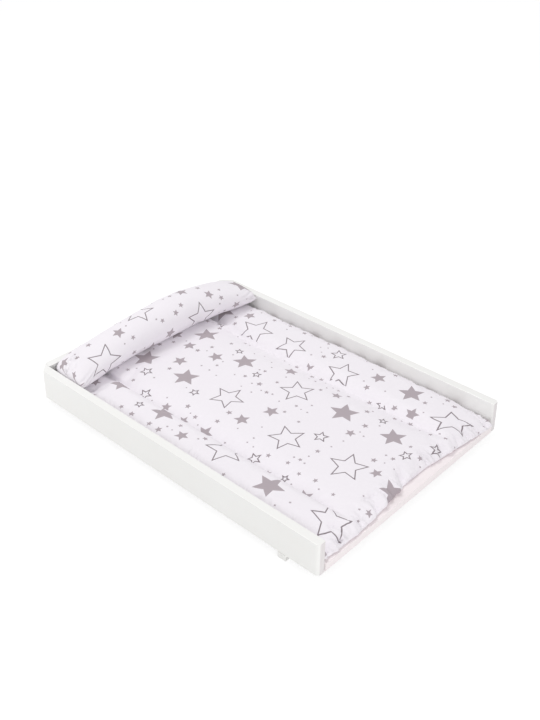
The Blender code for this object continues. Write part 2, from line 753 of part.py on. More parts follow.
def build():
    clear_scene()
    white_wood = painted("white_painted_wood", (0.86, 0.86, 0.85), 0.45)
    beech = painted("beech_dowel", (0.62, 0.45, 0.28), 0.6)
    zinc = painted("zinc_cam", (0.62, 0.62, 0.6), 0.38, 1.0)
    steel = painted("plated_steel", (0.66, 0.65, 0.62), 0.3, 1.0)
    print_cloth = painted("printed_cloth", (0.86, 0.83, 0.87), 0.85)
    plain_cloth = painted("plain_cloth", (0.84, 0.84, 0.84), 0.85)
    wadding = painted("wadding", (0.9, 0.9, 0.9), 0.95)
    rubber = painted("elastic_band", (0.8, 0.8, 0.8), 0.7)

    base = make_base_panel(white_wood)
    panels = {
        "left": make_side_panel("left_side_panel", -1, white_wood),
        "right": make_side_panel("right_side_panel", 1, white_wood),
        "head": make_head_panel(white_wood),
    }
    join_rim(base, panels, zinc, beech)

    screw_shape = screw_mesh(steel)
    foot_batten = make_batten("foot_batten", foot_batten_y, half_width, white_wood)
    head_batten = make_batten("head_batten", head_batten_y, inner_half_width, white_wood)
    screw_batten("foot", foot_batten, base, foot_batten_y, screw_shape, steel)
    screw_batten("head", head_batten, base, head_batten_y, screw_shape, steel)

    lift = bpy.data.objects.new("mat_lift", None)
    lift.location = (0, 0, mat_floor)
    bpy.context.collection.objects.link(lift)
    make_mat(print_cloth, plain_cloth, wadding, rubber, lift)
    make_bolster(print_cloth, wadding, lift)


build()
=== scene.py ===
# %% [markdown]
# # A changing board for a cot, with its printed mat
# The board is white laminated chipboard: a flat base, a low rim on three sides and two battens.
# Its panels, cam locks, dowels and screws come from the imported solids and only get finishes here.
# The mat and its bolster are soft, so they are modelled here with folds, seams and stitches.

import json
import math

import bmesh
import bpy
import numpy as np
from mathutils import Matrix, Vector, noise
from mathutils.bvhtree import BVHTree


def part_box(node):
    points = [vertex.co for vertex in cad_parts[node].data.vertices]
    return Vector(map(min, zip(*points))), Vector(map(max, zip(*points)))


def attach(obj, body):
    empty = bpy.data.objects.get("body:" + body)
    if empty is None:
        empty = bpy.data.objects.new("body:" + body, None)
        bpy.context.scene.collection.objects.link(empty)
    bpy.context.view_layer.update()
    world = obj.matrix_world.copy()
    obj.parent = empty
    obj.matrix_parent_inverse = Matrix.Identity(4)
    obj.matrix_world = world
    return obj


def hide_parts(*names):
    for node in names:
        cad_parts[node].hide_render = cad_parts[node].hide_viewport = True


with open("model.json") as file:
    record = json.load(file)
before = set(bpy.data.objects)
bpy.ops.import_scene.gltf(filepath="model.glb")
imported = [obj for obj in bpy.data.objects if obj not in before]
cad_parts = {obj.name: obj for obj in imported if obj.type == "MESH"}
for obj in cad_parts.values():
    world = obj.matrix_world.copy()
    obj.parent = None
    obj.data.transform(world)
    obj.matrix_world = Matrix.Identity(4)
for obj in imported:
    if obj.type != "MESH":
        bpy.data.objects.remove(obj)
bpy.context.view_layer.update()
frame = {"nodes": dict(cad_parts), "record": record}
bpy.ops.object.select_all(action="DESELECT")

# %% [markdown]
# ## Units and small helpers
# Lengths are written in millimetres times MM. Colours are written as sRGB hex, as a paint card
# gives them, and one function turns them into the linear values that Blender's shaders use.
# Another adds a node, fills in its settings and inputs, and returns its output. The rest are
# short forms of it for the nodes that come up again and again.

# %% Units, colours and nodes
MM = 0.001
WAVE_UNIT = math.tau / 20


def linear(hex_code):
    shares = [int(hex_code[at : at + 2], 16) / 255 for at in (1, 3, 5)]
    return (*(c / 12.92 if c <= 0.04045 else ((c + 0.055) / 1.055) ** 2.4 for c in shares), 1)


def add_node(tree, kind, inputs=(), out=0, **settings):
    node = tree.nodes.new(kind)
    for name, value in settings.items():
        setattr(node, name, value)
    for socket, value in dict(inputs).items():
        if isinstance(value, bpy.types.NodeSocket):
            tree.links.new(value, node.inputs[socket])
        else:
            node.inputs[socket].default_value = value
    return node.outputs[out] if node.outputs else node


def blend(tree, share, first, second):
    """Mixes two colours. Blender's colour mix has its inputs at 6 and 7 and its result at 2."""
    return add_node(tree, "ShaderNodeMix", {0: share, 6: first, 7: second}, out=2, data_type="RGBA")


def maths(tree, operation, *values):
    return add_node(tree, "ShaderNodeMath", dict(enumerate(values)), operation=operation)


def vector_maths(tree, operation, *values, out=0):
    return add_node(tree, "ShaderNodeVectorMath", dict(enumerate(values)), out=out, operation=operation)


def axis_of(tree, place, axis):
    return add_node(tree, "ShaderNodeSeparateXYZ", {0: place}, out=axis)


def noise_at(tree, place, spacing, detail):
    inputs = {"Vector": place, "Scale": 1 / spacing, "Detail": detail}
    return add_node(tree, "ShaderNodeTexNoise", inputs)


def bands_at(tree, place, spacing, direction, more=()):
    """Even bands this far apart. At scale 1 the texture has them WAVE_UNIT apart."""
    inputs = {"Vector": place, "Scale": WAVE_UNIT / spacing, **dict(more)}
    return add_node(tree, "ShaderNodeTexWave", inputs, bands_direction=direction)


def ranged(tree, share, low, high):
    return add_node(tree, "ShaderNodeMapRange", {"Value": share, "To Min": low, "To Max": high})


def new_finish(name):
    material = bpy.data.materials.new(name)
    material.use_nodes = True
    material.node_tree.nodes.clear()
    return material, material.node_tree


def end_finish(tree, shader):
    add_node(tree, "ShaderNodeOutputMaterial", {"Surface": shader})


def end_surface(tree, colour, rough, bump, more=()):
    """Ends a finish as an ordinary surface. bump is its height, strength and depth."""
    height, strength, depth = bump
    relief = {"Height": height, "Strength": strength, "Distance": depth}
    normal = add_node(tree, "ShaderNodeBump", relief)
    inputs = {"Base Color": colour, "Roughness": rough, "Normal": normal, **dict(more)}
    end_finish(tree, add_node(tree, "ShaderNodeBsdfPrincipled", inputs))


print("middle grey #808080 in linear light:", [round(v, 3) for v in linear("#808080")])

# %% [markdown]
# ## Camera
# The photograph looks down on the board from its open foot end and left side. The values come
# from fitting a camera to the straight edges of the rim. The picture is 540 by 720 pixels, and
# the board sits below its middle, which a small lens shift gives.

# %% Camera
FRAME_HEIGHT_PX = 720
CAMERA_AZIMUTH = -48.615
CAMERA_ELEVATION = 26.348
CAMERA_ROLL = 1.055
CAMERA_PLACE = (-1.1798, -1.1043, 1.1689)
CAMERA_LENS_MM = 48.752
SHIFT_RIGHT_PX = -20
SHIFT_UP_PX = -108

azimuth, elevation, roll = (
    math.radians(angle) for angle in (CAMERA_AZIMUTH, CAMERA_ELEVATION, CAMERA_ROLL)
)
level_right = Vector((math.cos(azimuth), math.sin(azimuth), 0))
away = Vector((
    math.sin(azimuth) * math.cos(elevation),
    -math.cos(azimuth) * math.cos(elevation),
    math.sin(elevation),
))
level_up = away.cross(level_right)
right = math.cos(roll) * level_right + math.sin(roll) * level_up
up = math.cos(roll) * level_up - math.sin(roll) * level_right
lens = bpy.data.cameras.new("camera")
lens.lens = CAMERA_LENS_MM
lens.shift_x = SHIFT_RIGHT_PX / FRAME_HEIGHT_PX
lens.shift_y = SHIFT_UP_PX / FRAME_HEIGHT_PX
camera = bpy.data.objects.new("camera", lens)
bpy.context.scene.collection.objects.link(camera)
turned = Matrix((right, up, away)).transposed().to_4x4()
camera.matrix_world = Matrix.Translation(CAMERA_PLACE) @ turned
bpy.context.scene.camera = camera
bpy.context.scene.view_settings.view_transform = "Standard"
print("camera stands", round(Vector(CAMERA_PLACE).length, 2), "m from the board's middle")

# %% [markdown]
# ## Floor and light
# The product stands on white paper under soft light. A wide lamp above the head end lets the
# bolster shade the mat in front of it, a small one lights the near panel towards its head end,
# one beside the camera lights the foot end and the inside of the far panel, and a pale world
# fills the rest. All stay at a level at which a colour renders about as it is written. Seen
# straight by the camera, the paper is lifted until the world alone makes it white, but it keeps
# the board's shadow.

# %% Floor
FLOOR_SIZE = 12
PAPER = "#F4F4F4"
PAPER_LIFT = 0.8
WORLD_LEVEL = 0.7
PAPER_SHADE = (1 - PAPER_LIFT) / WORLD_LEVEL


def white_for_eye(tree):
    """1 where the camera sees a surface straight, in a mirror or through glass."""
    seen = add_node(tree, "ShaderNodeLightPath", out="Is Camera Ray")
    glossy = add_node(tree, "ShaderNodeLightPath", out="Is Glossy Ray")
    through = add_node(tree, "ShaderNodeLightPath", out="Is Transmission Ray")
    return maths(tree, "MAXIMUM", maths(tree, "MAXIMUM", seen, glossy), through)


bpy.ops.mesh.primitive_plane_add(size=FLOOR_SIZE, location=(0, 0, -0.2 * MM))
floor = bpy.context.object
floor.name = "floor"
paper, tree = new_finish("white studio paper")
lit = add_node(tree, "ShaderNodeBsdfDiffuse", {"Color": linear(PAPER)})
dim = add_node(tree, "ShaderNodeBsdfDiffuse", {"Color": (PAPER_SHADE, PAPER_SHADE, PAPER_SHADE, 1)})
glow = add_node(tree, "ShaderNodeEmission", {"Color": linear("#FFFFFF"), "Strength": PAPER_LIFT})
lifted = add_node(tree, "ShaderNodeAddShader", {0: dim, 1: glow})
end_finish(tree, add_node(tree, "ShaderNodeMixShader", {0: white_for_eye(tree), 1: lit, 2: lifted}))
floor.data.materials.append(paper)
print("floor of", FLOOR_SIZE, "m")

# %% World and lamps
LAMPS = (
    dict(name="key lamp", watts=18.5, place=(0.1, 0.85, 2.6), aim=(0, 0, 0), size=1.1),
    dict(name="near side lamp", watts=1.2, place=(-0.9, 0.9, 0.35), aim=(-0.27, 0.2, 0.05), size=0.5),
    dict(name="foot side lamp", watts=9.5, place=(-1.2, -1.8, 0.9), aim=(0, -0.1, 0.05), size=0.9),
)

world = bpy.data.worlds.new("pale studio")
bpy.context.scene.world = world
world.use_nodes = True
tree = world.node_tree
tree.nodes.clear()
ambient = add_node(tree, "ShaderNodeBackground", {"Color": linear("#FCFCFC"), "Strength": WORLD_LEVEL})
backdrop = add_node(tree, "ShaderNodeBackground", {"Color": linear("#FFFFFF"), "Strength": 1})
shown = add_node(tree, "ShaderNodeMixShader", {0: white_for_eye(tree), 1: ambient, 2: backdrop})
add_node(tree, "ShaderNodeOutputWorld", {"Surface": shown})

for row in LAMPS:
    light = bpy.data.lights.new(row["name"], "AREA")
    light.shape = "DISK"
    light.size = row["size"]
    light.energy = row["watts"]
    lamp = bpy.data.objects.new(row["name"], light)
    bpy.context.scene.collection.objects.link(lamp)
    lamp.location = row["place"]
    towards = Vector(row["aim"]) - Vector(row["place"])
    lamp.rotation_euler = towards.to_track_quat("-Z", "Y").to_euler()
    lamp.visible_camera = False
print("world at", WORLD_LEVEL, "and lamps of", [row["watts"] for row in LAMPS], "W")

# %% [markdown]
# ## White laminate on the board
# The panels are chipboard with a satin white melamine film pressed on, and the narrow edges carry
# a glued band of the same white. The film has a very fine orange-peel skin and a gloss that
# varies a little where hands have rubbed it. The band on top of the rim shows as a hairline just
# below the top, worked out from the height in the object's own coordinates. The base's white is a
# touch pinker than the rim's, as the photograph shows. The rim's two end faces at the foot are
# greyer, which is painted shade, and a little streaky, like sawn edges under one coat of white.

# %% White laminate
RIM_WHITES = ("#F4F4F3", "#F2F1EE")
BASE_WHITES = ("#F8F0F1", "#F6EDEF")
# Greyer whites for the rim's end faces at the foot, laid in streaks: the grey is painted shade.
END_SHADE_WHITES = ("#F1EDED", "#D6D0D2")
STREAK_WIDTH = 2.5 * MM
STREAK_LENGTH = 60 * MM
PEEL_SPACING = 2.2 * MM
HANDLING_SPACING = 90 * MM
BAND_THICKNESS = 0.9 * MM
HAIRLINE = 0.25 * MM
HAIRLINE_TONE = "#C9C8C4"
HAIRLINE_STRENGTH = 0.35
LAMINATE_ROUGHNESS = (0.3, 0.44)
rim_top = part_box("left_side_panel")[1].z
foot_edge_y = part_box("base_panel")[0].y


def white_laminate(name, whites, end_shade_whites=None):
    """Satin film. With a third argument, the end faces at the foot end have those whites, in streaks:
    greyer ones, which paint shade on them.
    """
    material, tree = new_finish(name)
    place = add_node(tree, "ShaderNodeTexCoord", out="Object")
    peel = noise_at(tree, place, PEEL_SPACING, 2)
    rubbed = noise_at(tree, place, HANDLING_SPACING, 3)
    from_band = maths(tree, "SUBTRACT", axis_of(tree, place, "Z"), rim_top - BAND_THICKNESS)
    line = maths(tree, "LESS_THAN", maths(tree, "ABSOLUTE", from_band), HAIRLINE / 2)
    tone = blend(tree, rubbed, *map(linear, whites))
    # The end faces at the foot get the greyer whites in streaks: painted shade.
    if end_shade_whites:
        on_end = maths(tree, "LESS_THAN", axis_of(tree, place, "Y"), foot_edge_y + BAND_THICKNESS)
        stretch = (1 / STREAK_WIDTH, 1 / STREAK_WIDTH, 1 / STREAK_LENGTH)
        stretched = add_node(tree, "ShaderNodeMapping", {"Vector": place, "Scale": stretch})
        streaks = noise_at(tree, stretched, 1, 2)
        tone = blend(tree, on_end, tone, blend(tree, streaks, *map(linear, end_shade_whites)))
    faint = maths(tree, "MULTIPLY", line, HAIRLINE_STRENGTH)
    colour = blend(tree, faint, tone, linear(HAIRLINE_TONE))
    rough = ranged(tree, rubbed, *LAMINATE_ROUGHNESS)
    end_surface(tree, colour, rough, (peel, 0.12, 0.1 * MM), {"IOR": 1.5})
    return material


finishes = {"white_wood": white_laminate("satin white melamine laminate", RIM_WHITES, END_SHADE_WHITES)}
base_finish = white_laminate("satin rose-white melamine laminate", BASE_WHITES)
print("laminate hairline", HAIRLINE / MM, "mm wide at", round(rim_top / MM, 1), "mm")

# %% [markdown]
# ## Small finishes: beech, zinc and steel
# The dowels are turned beech with grain along them. The cams and their bolts are die-cast zinc,
# dull and slightly grainy. The batten screws are zinc-plated steel with a soft sheen.

# %% Beech, zinc and steel
GRAIN_WIDTH = 0.7 * MM
GRAIN_STRETCH = 0.12
CASTING_GRAIN = 0.35 * MM


def beech():
    material, tree = new_finish("turned beech")
    place = add_node(tree, "ShaderNodeTexCoord", out="Object")
    drawn = add_node(tree, "ShaderNodeMapping", {"Vector": place, "Scale": (GRAIN_STRETCH, 1, 1)})
    grain = noise_at(tree, drawn, GRAIN_WIDTH, 4)
    colour = blend(tree, grain, linear("#D8B88D"), linear("#BF9768"))
    end_surface(tree, colour, 0.6, (grain, 0.3, 0.1 * MM))
    return material


def metal(name, dark, light, grain_size, smooth_rough, coarse_rough):
    material, tree = new_finish(name)
    place = add_node(tree, "ShaderNodeTexCoord", out="Object")
    grain = noise_at(tree, place, grain_size, 3)
    colour = blend(tree, grain, linear(dark), linear(light))
    rough = ranged(tree, grain, smooth_rough, coarse_rough)
    end_surface(tree, colour, rough, (grain, 0.25, 0.05 * MM), {"Metallic": 1.0})
    return material


finishes["beech"] = beech()
finishes["zinc"] = metal("die-cast zinc", "#8F908E", "#B4B5B2", CASTING_GRAIN, 0.38, 0.55)
finishes["steel"] = metal("zinc-plated steel", "#A9ABAC", "#CDCFCF", 2 * CASTING_GRAIN, 0.22, 0.36)
print("finishes so far:", ", ".join(finishes))

# %% [markdown]
# ## Printed cotton
# The cover is woven cotton with five-pointed stars in grey, some solid and some in outline. Each
# layer of stars sits in its own grid of cells, each column of which starts a little higher than
# the last. White noise per cell moves, turns and sizes the star, and a folded angle gives its
# five points. A smaller layer leaves out the stars that would touch a larger one. The real
# thread is about 0.35 mm, too fine to show, so it is drawn at 0.9 mm.
# The pattern reads the piece's own map, in metres along the cloth, so it follows every fold.

# %% Stars
STAR_POINTS = 5
NOTCH_SHARE = 0.46
HALF_TURN = math.pi / STAR_POINTS
OUTLINE_WIDTH = 2.1 * MM
INK_EDGE = 0.25 * MM
CELL_SEED_STEP = 17.0
COLUMN_STEP = 0.38
SMALLEST_STAR = 0.5 * MM


def edge_of_star():
    """Direction and reach of a point's slanted side, for a star with its points at radius 1."""
    side = Vector((NOTCH_SHARE * math.sin(HALF_TURN), 1 - NOTCH_SHARE * math.cos(HALF_TURN)))
    side.normalize()
    return math.atan2(side.y, side.x), side.x


LEAN, REACH = edge_of_star()


def star_at(tree, place, layer):
    """The star of the cell that a place lies in: its centre, radius and turn, and its style."""
    cell, jitter = layer["cell"], layer["jitter"]
    spot = vector_maths(tree, "MULTIPLY", place, (1 / cell, 1 / cell, 0))
    column = axis_of(tree, vector_maths(tree, "FLOOR", spot), "X")
    step_up = maths(tree, "MULTIPLY", column, COLUMN_STEP)
    raised = add_node(tree, "ShaderNodeCombineXYZ", {"Y": step_up})
    corner = vector_maths(tree, "FLOOR", vector_maths(tree, "ADD", spot, raised))
    seeds = []
    for step in (0, 1):
        at = (0.5, 0.5, layer["seed"] + step * CELL_SEED_STEP)
        seeded = vector_maths(tree, "ADD", corner, at)
        seeds.append(add_node(tree, "ShaderNodeTexWhiteNoise", {"Vector": seeded}, out="Color"))
    margin = 0.5 - jitter / 2
    shift = vector_maths(tree, "MULTIPLY_ADD", seeds[0], (jitter, jitter, 0), (margin, margin, 0))
    centre = vector_maths(tree, "SUBTRACT", vector_maths(tree, "ADD", corner, shift), raised)
    centre = vector_maths(tree, "MULTIPLY", centre, (cell, cell, 0))
    size = axis_of(tree, seeds[0], "Z")
    turn, chance, luck = (axis_of(tree, seeds[1], axis) for axis in "XYZ")
    hollow = maths(tree, "LESS_THAN", chance, layer["hollow_share"])
    solid_size, hollow_size = (ranged(tree, size, *layer[style]) for style in ("solid", "hollow"))
    radius = add_node(tree, "ShaderNodeMix", {0: hollow, 2: solid_size, 3: hollow_size})
    radius = maths(tree, "MULTIPLY", radius, maths(tree, "LESS_THAN", luck, layer["share"]))
    return {"centre": centre, "radius": radius, "turn": turn, "hollow": hollow}


def clear_of(tree, star, larger_layer, room):
    """1 where a star keeps clear of the star of a larger layer."""
    other = star_at(tree, star["centre"], larger_layer)
    apart = vector_maths(tree, "DISTANCE", star["centre"], other["centre"], out="Value")
    needed = maths(tree, "ADD", maths(tree, "ADD", star["radius"], other["radius"]), room)
    absent = maths(tree, "LESS_THAN", other["radius"], room)
    return maths(tree, "MAXIMUM", absent, maths(tree, "GREATER_THAN", apart, needed))


def star_ink(tree, place, star):
    """1 on the star's ink: all of a solid star, or the line round a hollow one."""
    offset = vector_maths(tree, "SUBTRACT", place, star["centre"])
    far = vector_maths(tree, "LENGTH", offset, out="Value")
    split = axis_of(tree, offset, "X").node.outputs
    angle = maths(tree, "ARCTAN2", split["Y"], split["X"])
    turned = maths(tree, "MULTIPLY_ADD", star["turn"], math.tau, angle)
    folded = maths(tree, "PINGPONG", turned, HALF_TURN)
    cosine = maths(tree, "COSINE", maths(tree, "SUBTRACT", folded, LEAN))
    reach = maths(tree, "MULTIPLY", far, cosine)
    beyond = maths(tree, "MULTIPLY_ADD", star["radius"], -REACH, reach)
    solid, inner = (
        add_node(tree, "ShaderNodeMapRange", {
            "Value": beyond, "From Min": INK_EDGE - inset, "From Max": -INK_EDGE - inset,
        })
        for inset in (0, OUTLINE_WIDTH)
    )
    hole = maths(tree, "MULTIPLY", inner, star["hollow"])
    ink = maths(tree, "SUBTRACT", solid, hole)
    return maths(tree, "MULTIPLY", ink, maths(tree, "GREATER_THAN", star["radius"], SMALLEST_STAR))


print("a point's side leans", round(math.degrees(LEAN), 1), "degrees")

# %% Printed and plain cloth
THREAD_SPACING = 0.9 * MM
SLUB_SPACING = 6 * MM
SLUB_SHARE = 1.5
CLOTH_WHITE = "#F5F1F6"
CLOTH_SHADE = "#F1ECF2"
INK_PALE = "#B1A6AC"
INK_DARK = "#857A80"
STAR_LAYERS = (
    dict(cell=132 * MM, jitter=0.34, seed=8, hollow_share=0.44, share=0.97,
         solid=(24 * MM, 33 * MM), hollow=(36 * MM, 43 * MM)),
    dict(cell=63 * MM, jitter=0.36, seed=11, hollow_share=0.4, share=0.95,
         solid=(11 * MM, 20 * MM), hollow=(10 * MM, 20 * MM)),
    dict(cell=37 * MM, jitter=0.5, seed=29, hollow_share=0, share=0.85,
         solid=(4.5 * MM, 8 * MM), hollow=(4 * MM, 6 * MM)),
    dict(cell=24 * MM, jitter=0.6, seed=47, hollow_share=0, share=0.5,
         solid=(2.3 * MM, 3.4 * MM), hollow=(2 * MM, 3 * MM)),
)
STAR_ROOM = 4 * MM
COTTON_SHEEN = {"Sheen Weight": 0.08, "Sheen Roughness": 0.5}
PRINT_MAP = "print"


def weave_height(tree, place):
    """Threads over and under each other, with slubs where a thread is thicker."""
    unevenness = {"Distortion": 0.6, "Detail": 1}
    threads = [bands_at(tree, place, THREAD_SPACING, way, unevenness) for way in ("X", "Y")]
    woven = maths(tree, "ADD", *threads)
    slub = noise_at(tree, place, SLUB_SPACING, 4)
    return maths(tree, "MULTIPLY_ADD", slub, SLUB_SHARE, woven), slub


def cotton(name, printed):
    material, tree = new_finish(name)
    place = add_node(tree, "ShaderNodeUVMap", uv_map=PRINT_MAP)
    height, slub = weave_height(tree, place)
    colour = blend(tree, slub, linear(CLOTH_WHITE), linear(CLOTH_SHADE))
    for number, layer in enumerate(STAR_LAYERS if printed else ()):
        star = star_at(tree, place, layer)
        for larger in STAR_LAYERS[:number]:
            free = clear_of(tree, star, larger, STAR_ROOM)
            star["radius"] = maths(tree, "MULTIPLY", star["radius"], free)
        tone = blend(tree, star["hollow"], linear(INK_PALE), linear(INK_DARK))
        colour = blend(tree, star_ink(tree, place, star), colour, tone)
    end_surface(tree, colour, 0.86, (height, 0.2, 0.12 * MM), COTTON_SHEEN)
    return material


finishes["print_cloth"] = cotton("star-printed woven cotton", True)
finishes["plain_cloth"] = cotton("plain woven cotton", False)
print(len(finishes["print_cloth"].node_tree.nodes), "nodes in the printed cotton")

# %% [markdown]
# ## The board's solids get their finishes
# Every wooden, metal and beech solid keeps its mesh. Only the material in its slot changes.

# %% Dress the board
slot_of = {row["node"]: row["material_slot"] for row in frame["record"]["subparts"]}
dressed = 0
for name, solid in frame["nodes"].items():
    if slot_of[name] in finishes and slot_of[name] not in ("print_cloth", "plain_cloth"):
        solid.data.materials.clear()
        solid.data.materials.append(base_finish if name == "base_panel" else finishes[slot_of[name]])
        dressed += 1
print(dressed, "solids dressed")

# %% [markdown]
# ## The mat's form
# The mat is a flat padded cushion with two sewn lines along it, which make a narrow soft roll
# on each side. It lies 24 mm thick under the bolster and rolls down to the open foot end. The
# sizes are those of the solids, and the height of any point follows from the same rules.

# %% Sizes of the mat and the bolster
mat_low, mat_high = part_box("mat_cover")
MAT_FLOOR = mat_low.z
HALF_WIDTH = mat_high.x
FOOT_Y = mat_low.y
HEAD_Y = mat_high.y
LEFT_SEAM = 82 * MM - HALF_WIDTH
RIGHT_SEAM = HALF_WIDTH - 118 * MM
CUSHION_CROWN = 33 * MM
CENTRE_CROWN = 26 * MM
SEAM_HEIGHT = 15 * MM
SIDE_EDGE_HEIGHT = 18 * MM
END_EDGE_HEIGHT = 11 * MM
PRESSED_HEIGHT = 24 * MM
FOOT_ROLL = 45 * MM
HEAD_ROLL = 30 * MM
SEAM_FADE = 70 * MM
PRESS_RISE = 26 * MM
CORNER_DRAW = 3 * MM
CORNER_POWER = 10
CHANNEL = (4.2, 0.52)
END_ROLL = (2.6, 0.65)
BOLSTER_DEPTHS = (86 * MM, 104 * MM)
BOLSTER_HEIGHTS = (84 * MM, 44 * MM)
BOLSTER_PEAK_X = 50 * MM
PEAK_POWER = 1.6
TAPER_POWER = 3
LINING_GAP = 0.3 * MM


def smooth(share):
    share = np.clip(share, 0, 1)
    return share * share * (3 - 2 * share)


def swell(share, power, roundness):
    """Fullness of a stuffed channel from its seam (share -1 or 1) to its middle (0)."""
    return (1 - np.minimum(np.abs(share), 1) ** power) ** roundness


def bolster_half_depth(x):
    middle, end = BOLSTER_DEPTHS
    return (middle + (end - middle) * np.minimum(np.abs(x) / HALF_WIDTH, 1) ** TAPER_POWER) / 2


def bolster_half_height(x):
    """The roll is tallest a little to the right of its middle."""
    middle, end = BOLSTER_HEIGHTS
    reach = HALF_WIDTH - np.sign(x - BOLSTER_PEAK_X) * BOLSTER_PEAK_X
    from_peak = np.minimum(np.abs(x - BOLSTER_PEAK_X) / reach, 1)
    return (middle + (end - middle) * from_peak ** PEAK_POWER) / 2


def bolster_front(x):
    return HEAD_Y - 2 * bolster_half_depth(x)


print("mat", round(2 * HALF_WIDTH / MM), "by", round((HEAD_Y - FOOT_Y) / MM), "mm, seams at",
      round(LEFT_SEAM / MM), "and", round(RIGHT_SEAM / MM))

# %% Height of the cloth
def channel_height(x):
    """Height across the mat: a roll at each side and a flatter middle, with the seams between."""
    height = np.zeros_like(x)
    for low_x, high_x, low_z, high_z, crown in (
        (-HALF_WIDTH, LEFT_SEAM, SIDE_EDGE_HEIGHT, SEAM_HEIGHT, CUSHION_CROWN),
        (LEFT_SEAM, RIGHT_SEAM, SEAM_HEIGHT, SEAM_HEIGHT, CENTRE_CROWN),
        (RIGHT_SEAM, HALF_WIDTH, SEAM_HEIGHT, SIDE_EDGE_HEIGHT, CUSHION_CROWN),
    ):
        across = (x - low_x) / (high_x - low_x)
        floor_z = low_z + (high_z - low_z) * across
        inside = (across >= -1e-6) & (across <= 1 + 1e-6)
        height = np.where(inside, floor_z + (crown - floor_z) * swell(2 * across - 1, *CHANNEL), height)
    return height


def rolled(z, from_edge, roll):
    """Brings a height down to that of the mat's end within the roll at the end."""
    fullness = swell(1 - np.minimum(from_edge / roll, 1), *END_ROLL)
    return END_EDGE_HEIGHT + (z - END_EDGE_HEIGHT) * fullness


def mat_height(x, y):
    from_foot, from_head = y - FOOT_Y, HEAD_Y - y
    plain = SIDE_EDGE_HEIGHT + (CENTRE_CROWN - SIDE_EDGE_HEIGHT) * swell(x / HALF_WIDTH, *CHANNEL)
    z = plain + (channel_height(x) - plain) * smooth(from_foot / SEAM_FADE)
    z = rolled(z, from_foot, FOOT_ROLL)
    pressed = smooth((y - bolster_front(x)) / PRESS_RISE + 1)
    z = z + (np.minimum(z, PRESSED_HEIGHT) - z) * pressed
    return rolled(z, from_head, HEAD_ROLL)


left_crown = mat_height(np.array([(LEFT_SEAM - HALF_WIDTH) / 2]), np.array([0.0]))[0]
print("crown of the left roll", round(float(left_crown) / MM, 1), "mm")

# %% [markdown]
# ## Reading and making meshes
# These helpers read values from a mesh, measure along its points, and build and turn new ones.

# %% Reading and making meshes
def read(items, what, width=1, kind=float):
    """A value, or a row of them, for each point, face or face corner of a mesh."""
    values = np.zeros(len(items) * width, kind)
    items.foreach_get(what, values)
    return values.reshape(-1, width) if width > 1 else values


def spots_of(mesh):
    return read(mesh.vertices, "co", 3)


def put(mesh, spots):
    mesh.vertices.foreach_set("co", np.asarray(spots).ravel())
    mesh.update()


def lengths_along(points, axis=0):
    """How far along its row of points each point lies, from 0 at the first."""
    steps = np.linalg.norm(np.diff(points, axis=axis), axis=-1)
    return np.insert(np.cumsum(steps, axis=axis), 0, 0, axis=axis)


def noise_on(x, y, z):
    return np.array([noise.noise(Vector(spot)) for spot in np.broadcast(x, y, z)])


def new_object(name, spots, faces):
    mesh = bpy.data.meshes.new(name)
    mesh.from_pydata(np.asarray(spots).tolist(), [], faces)
    mesh.validate()
    obj = bpy.data.objects.new(name, mesh)
    bpy.context.scene.collection.objects.link(obj)
    return obj


def tube_faces(count, around, closed=False):
    """Faces between rings of points. A closed tube joins its last ring to its first."""
    faces = []
    for i in range(count if closed else count - 1):
        near, far = i * around, (i + 1) % count * around
        for j in range(around):
            k = (j + 1) % around
            faces.append((near + j, near + k, far + k, far + j))
    return faces


def face_outwards(mesh):
    fix = bmesh.new()
    fix.from_mesh(mesh)
    bmesh.ops.recalc_face_normals(fix, faces=fix.faces)
    fix.to_mesh(mesh)
    fix.free()


print("mesh helpers ready")

# %% [markdown]
# ## Mesh of the mat
# The cloth is one grid, with columns that run exactly along both seams. Rings round its edge
# carry it over the side, under the mat to the hem, and back up to the lining. The top ends
# 6 mm inside the widest line, so that the sides come out round. A ring is given by how far it
# lies outside the grid's edge, by its share of the edge's height and by its lift.

# %% Grid and rings
CLOTH_STEP = 5 * MM
EDGE_INSET = 6 * MM
RINGS = (
    (3.4 * MM, 0.9, 0),
    (5.6 * MM, 0.66, 0),
    (6 * MM, 0.38, 0),
    (4.6 * MM, 0.14, 0),
    (1.6 * MM, 0, 0),
    (-4 * MM, 0, 0),
    (-10 * MM, 0, 0),
    (-10 * MM, 0, 1 * MM),
    (-2 * MM, 0, 1.2 * MM),
    (-2 * MM, 0, 2.6 * MM),
)
HELD_RINGS_FROM = 3
middle_y = (HEAD_Y + FOOT_Y) / 2
half_length = (HEAD_Y - FOOT_Y) / 2


def even_places(stops, step):
    """Places from the first stop to the last, evenly spaced between stops, with every stop in."""
    places = [stops[0]]
    for low, high in zip(stops, stops[1:]):
        count = max(2, round((high - low) / step))
        places += [low + (high - low) * (n + 1) / count for n in range(count)]
    return np.array(places)


columns = even_places((-HALF_WIDTH, LEFT_SEAM, RIGHT_SEAM, HALF_WIDTH), CLOTH_STEP)
rows = even_places((FOOT_Y, HEAD_Y), CLOTH_STEP)
left_column = int(np.argmin(np.abs(columns - LEFT_SEAM)))
right_column = int(np.argmin(np.abs(columns - RIGHT_SEAM)))
print(len(columns), "columns,", len(rows), "rows; seams on columns", left_column, "and", right_column)


def grid_points(columns, rows):
    x, y = np.meshgrid(columns, rows, indexing="ij")
    z = mat_height(x, y)
    along = (y - middle_y) / half_length
    corner = np.abs(x / HALF_WIDTH * along) ** CORNER_POWER * CORNER_DRAW
    x = (x - np.sign(x) * corner) * (1 - EDGE_INSET / HALF_WIDTH)
    y = (y - middle_y - np.sign(along) * corner) * (1 - EDGE_INSET / half_length) + middle_y
    return np.stack([x, y, z], axis=-1)


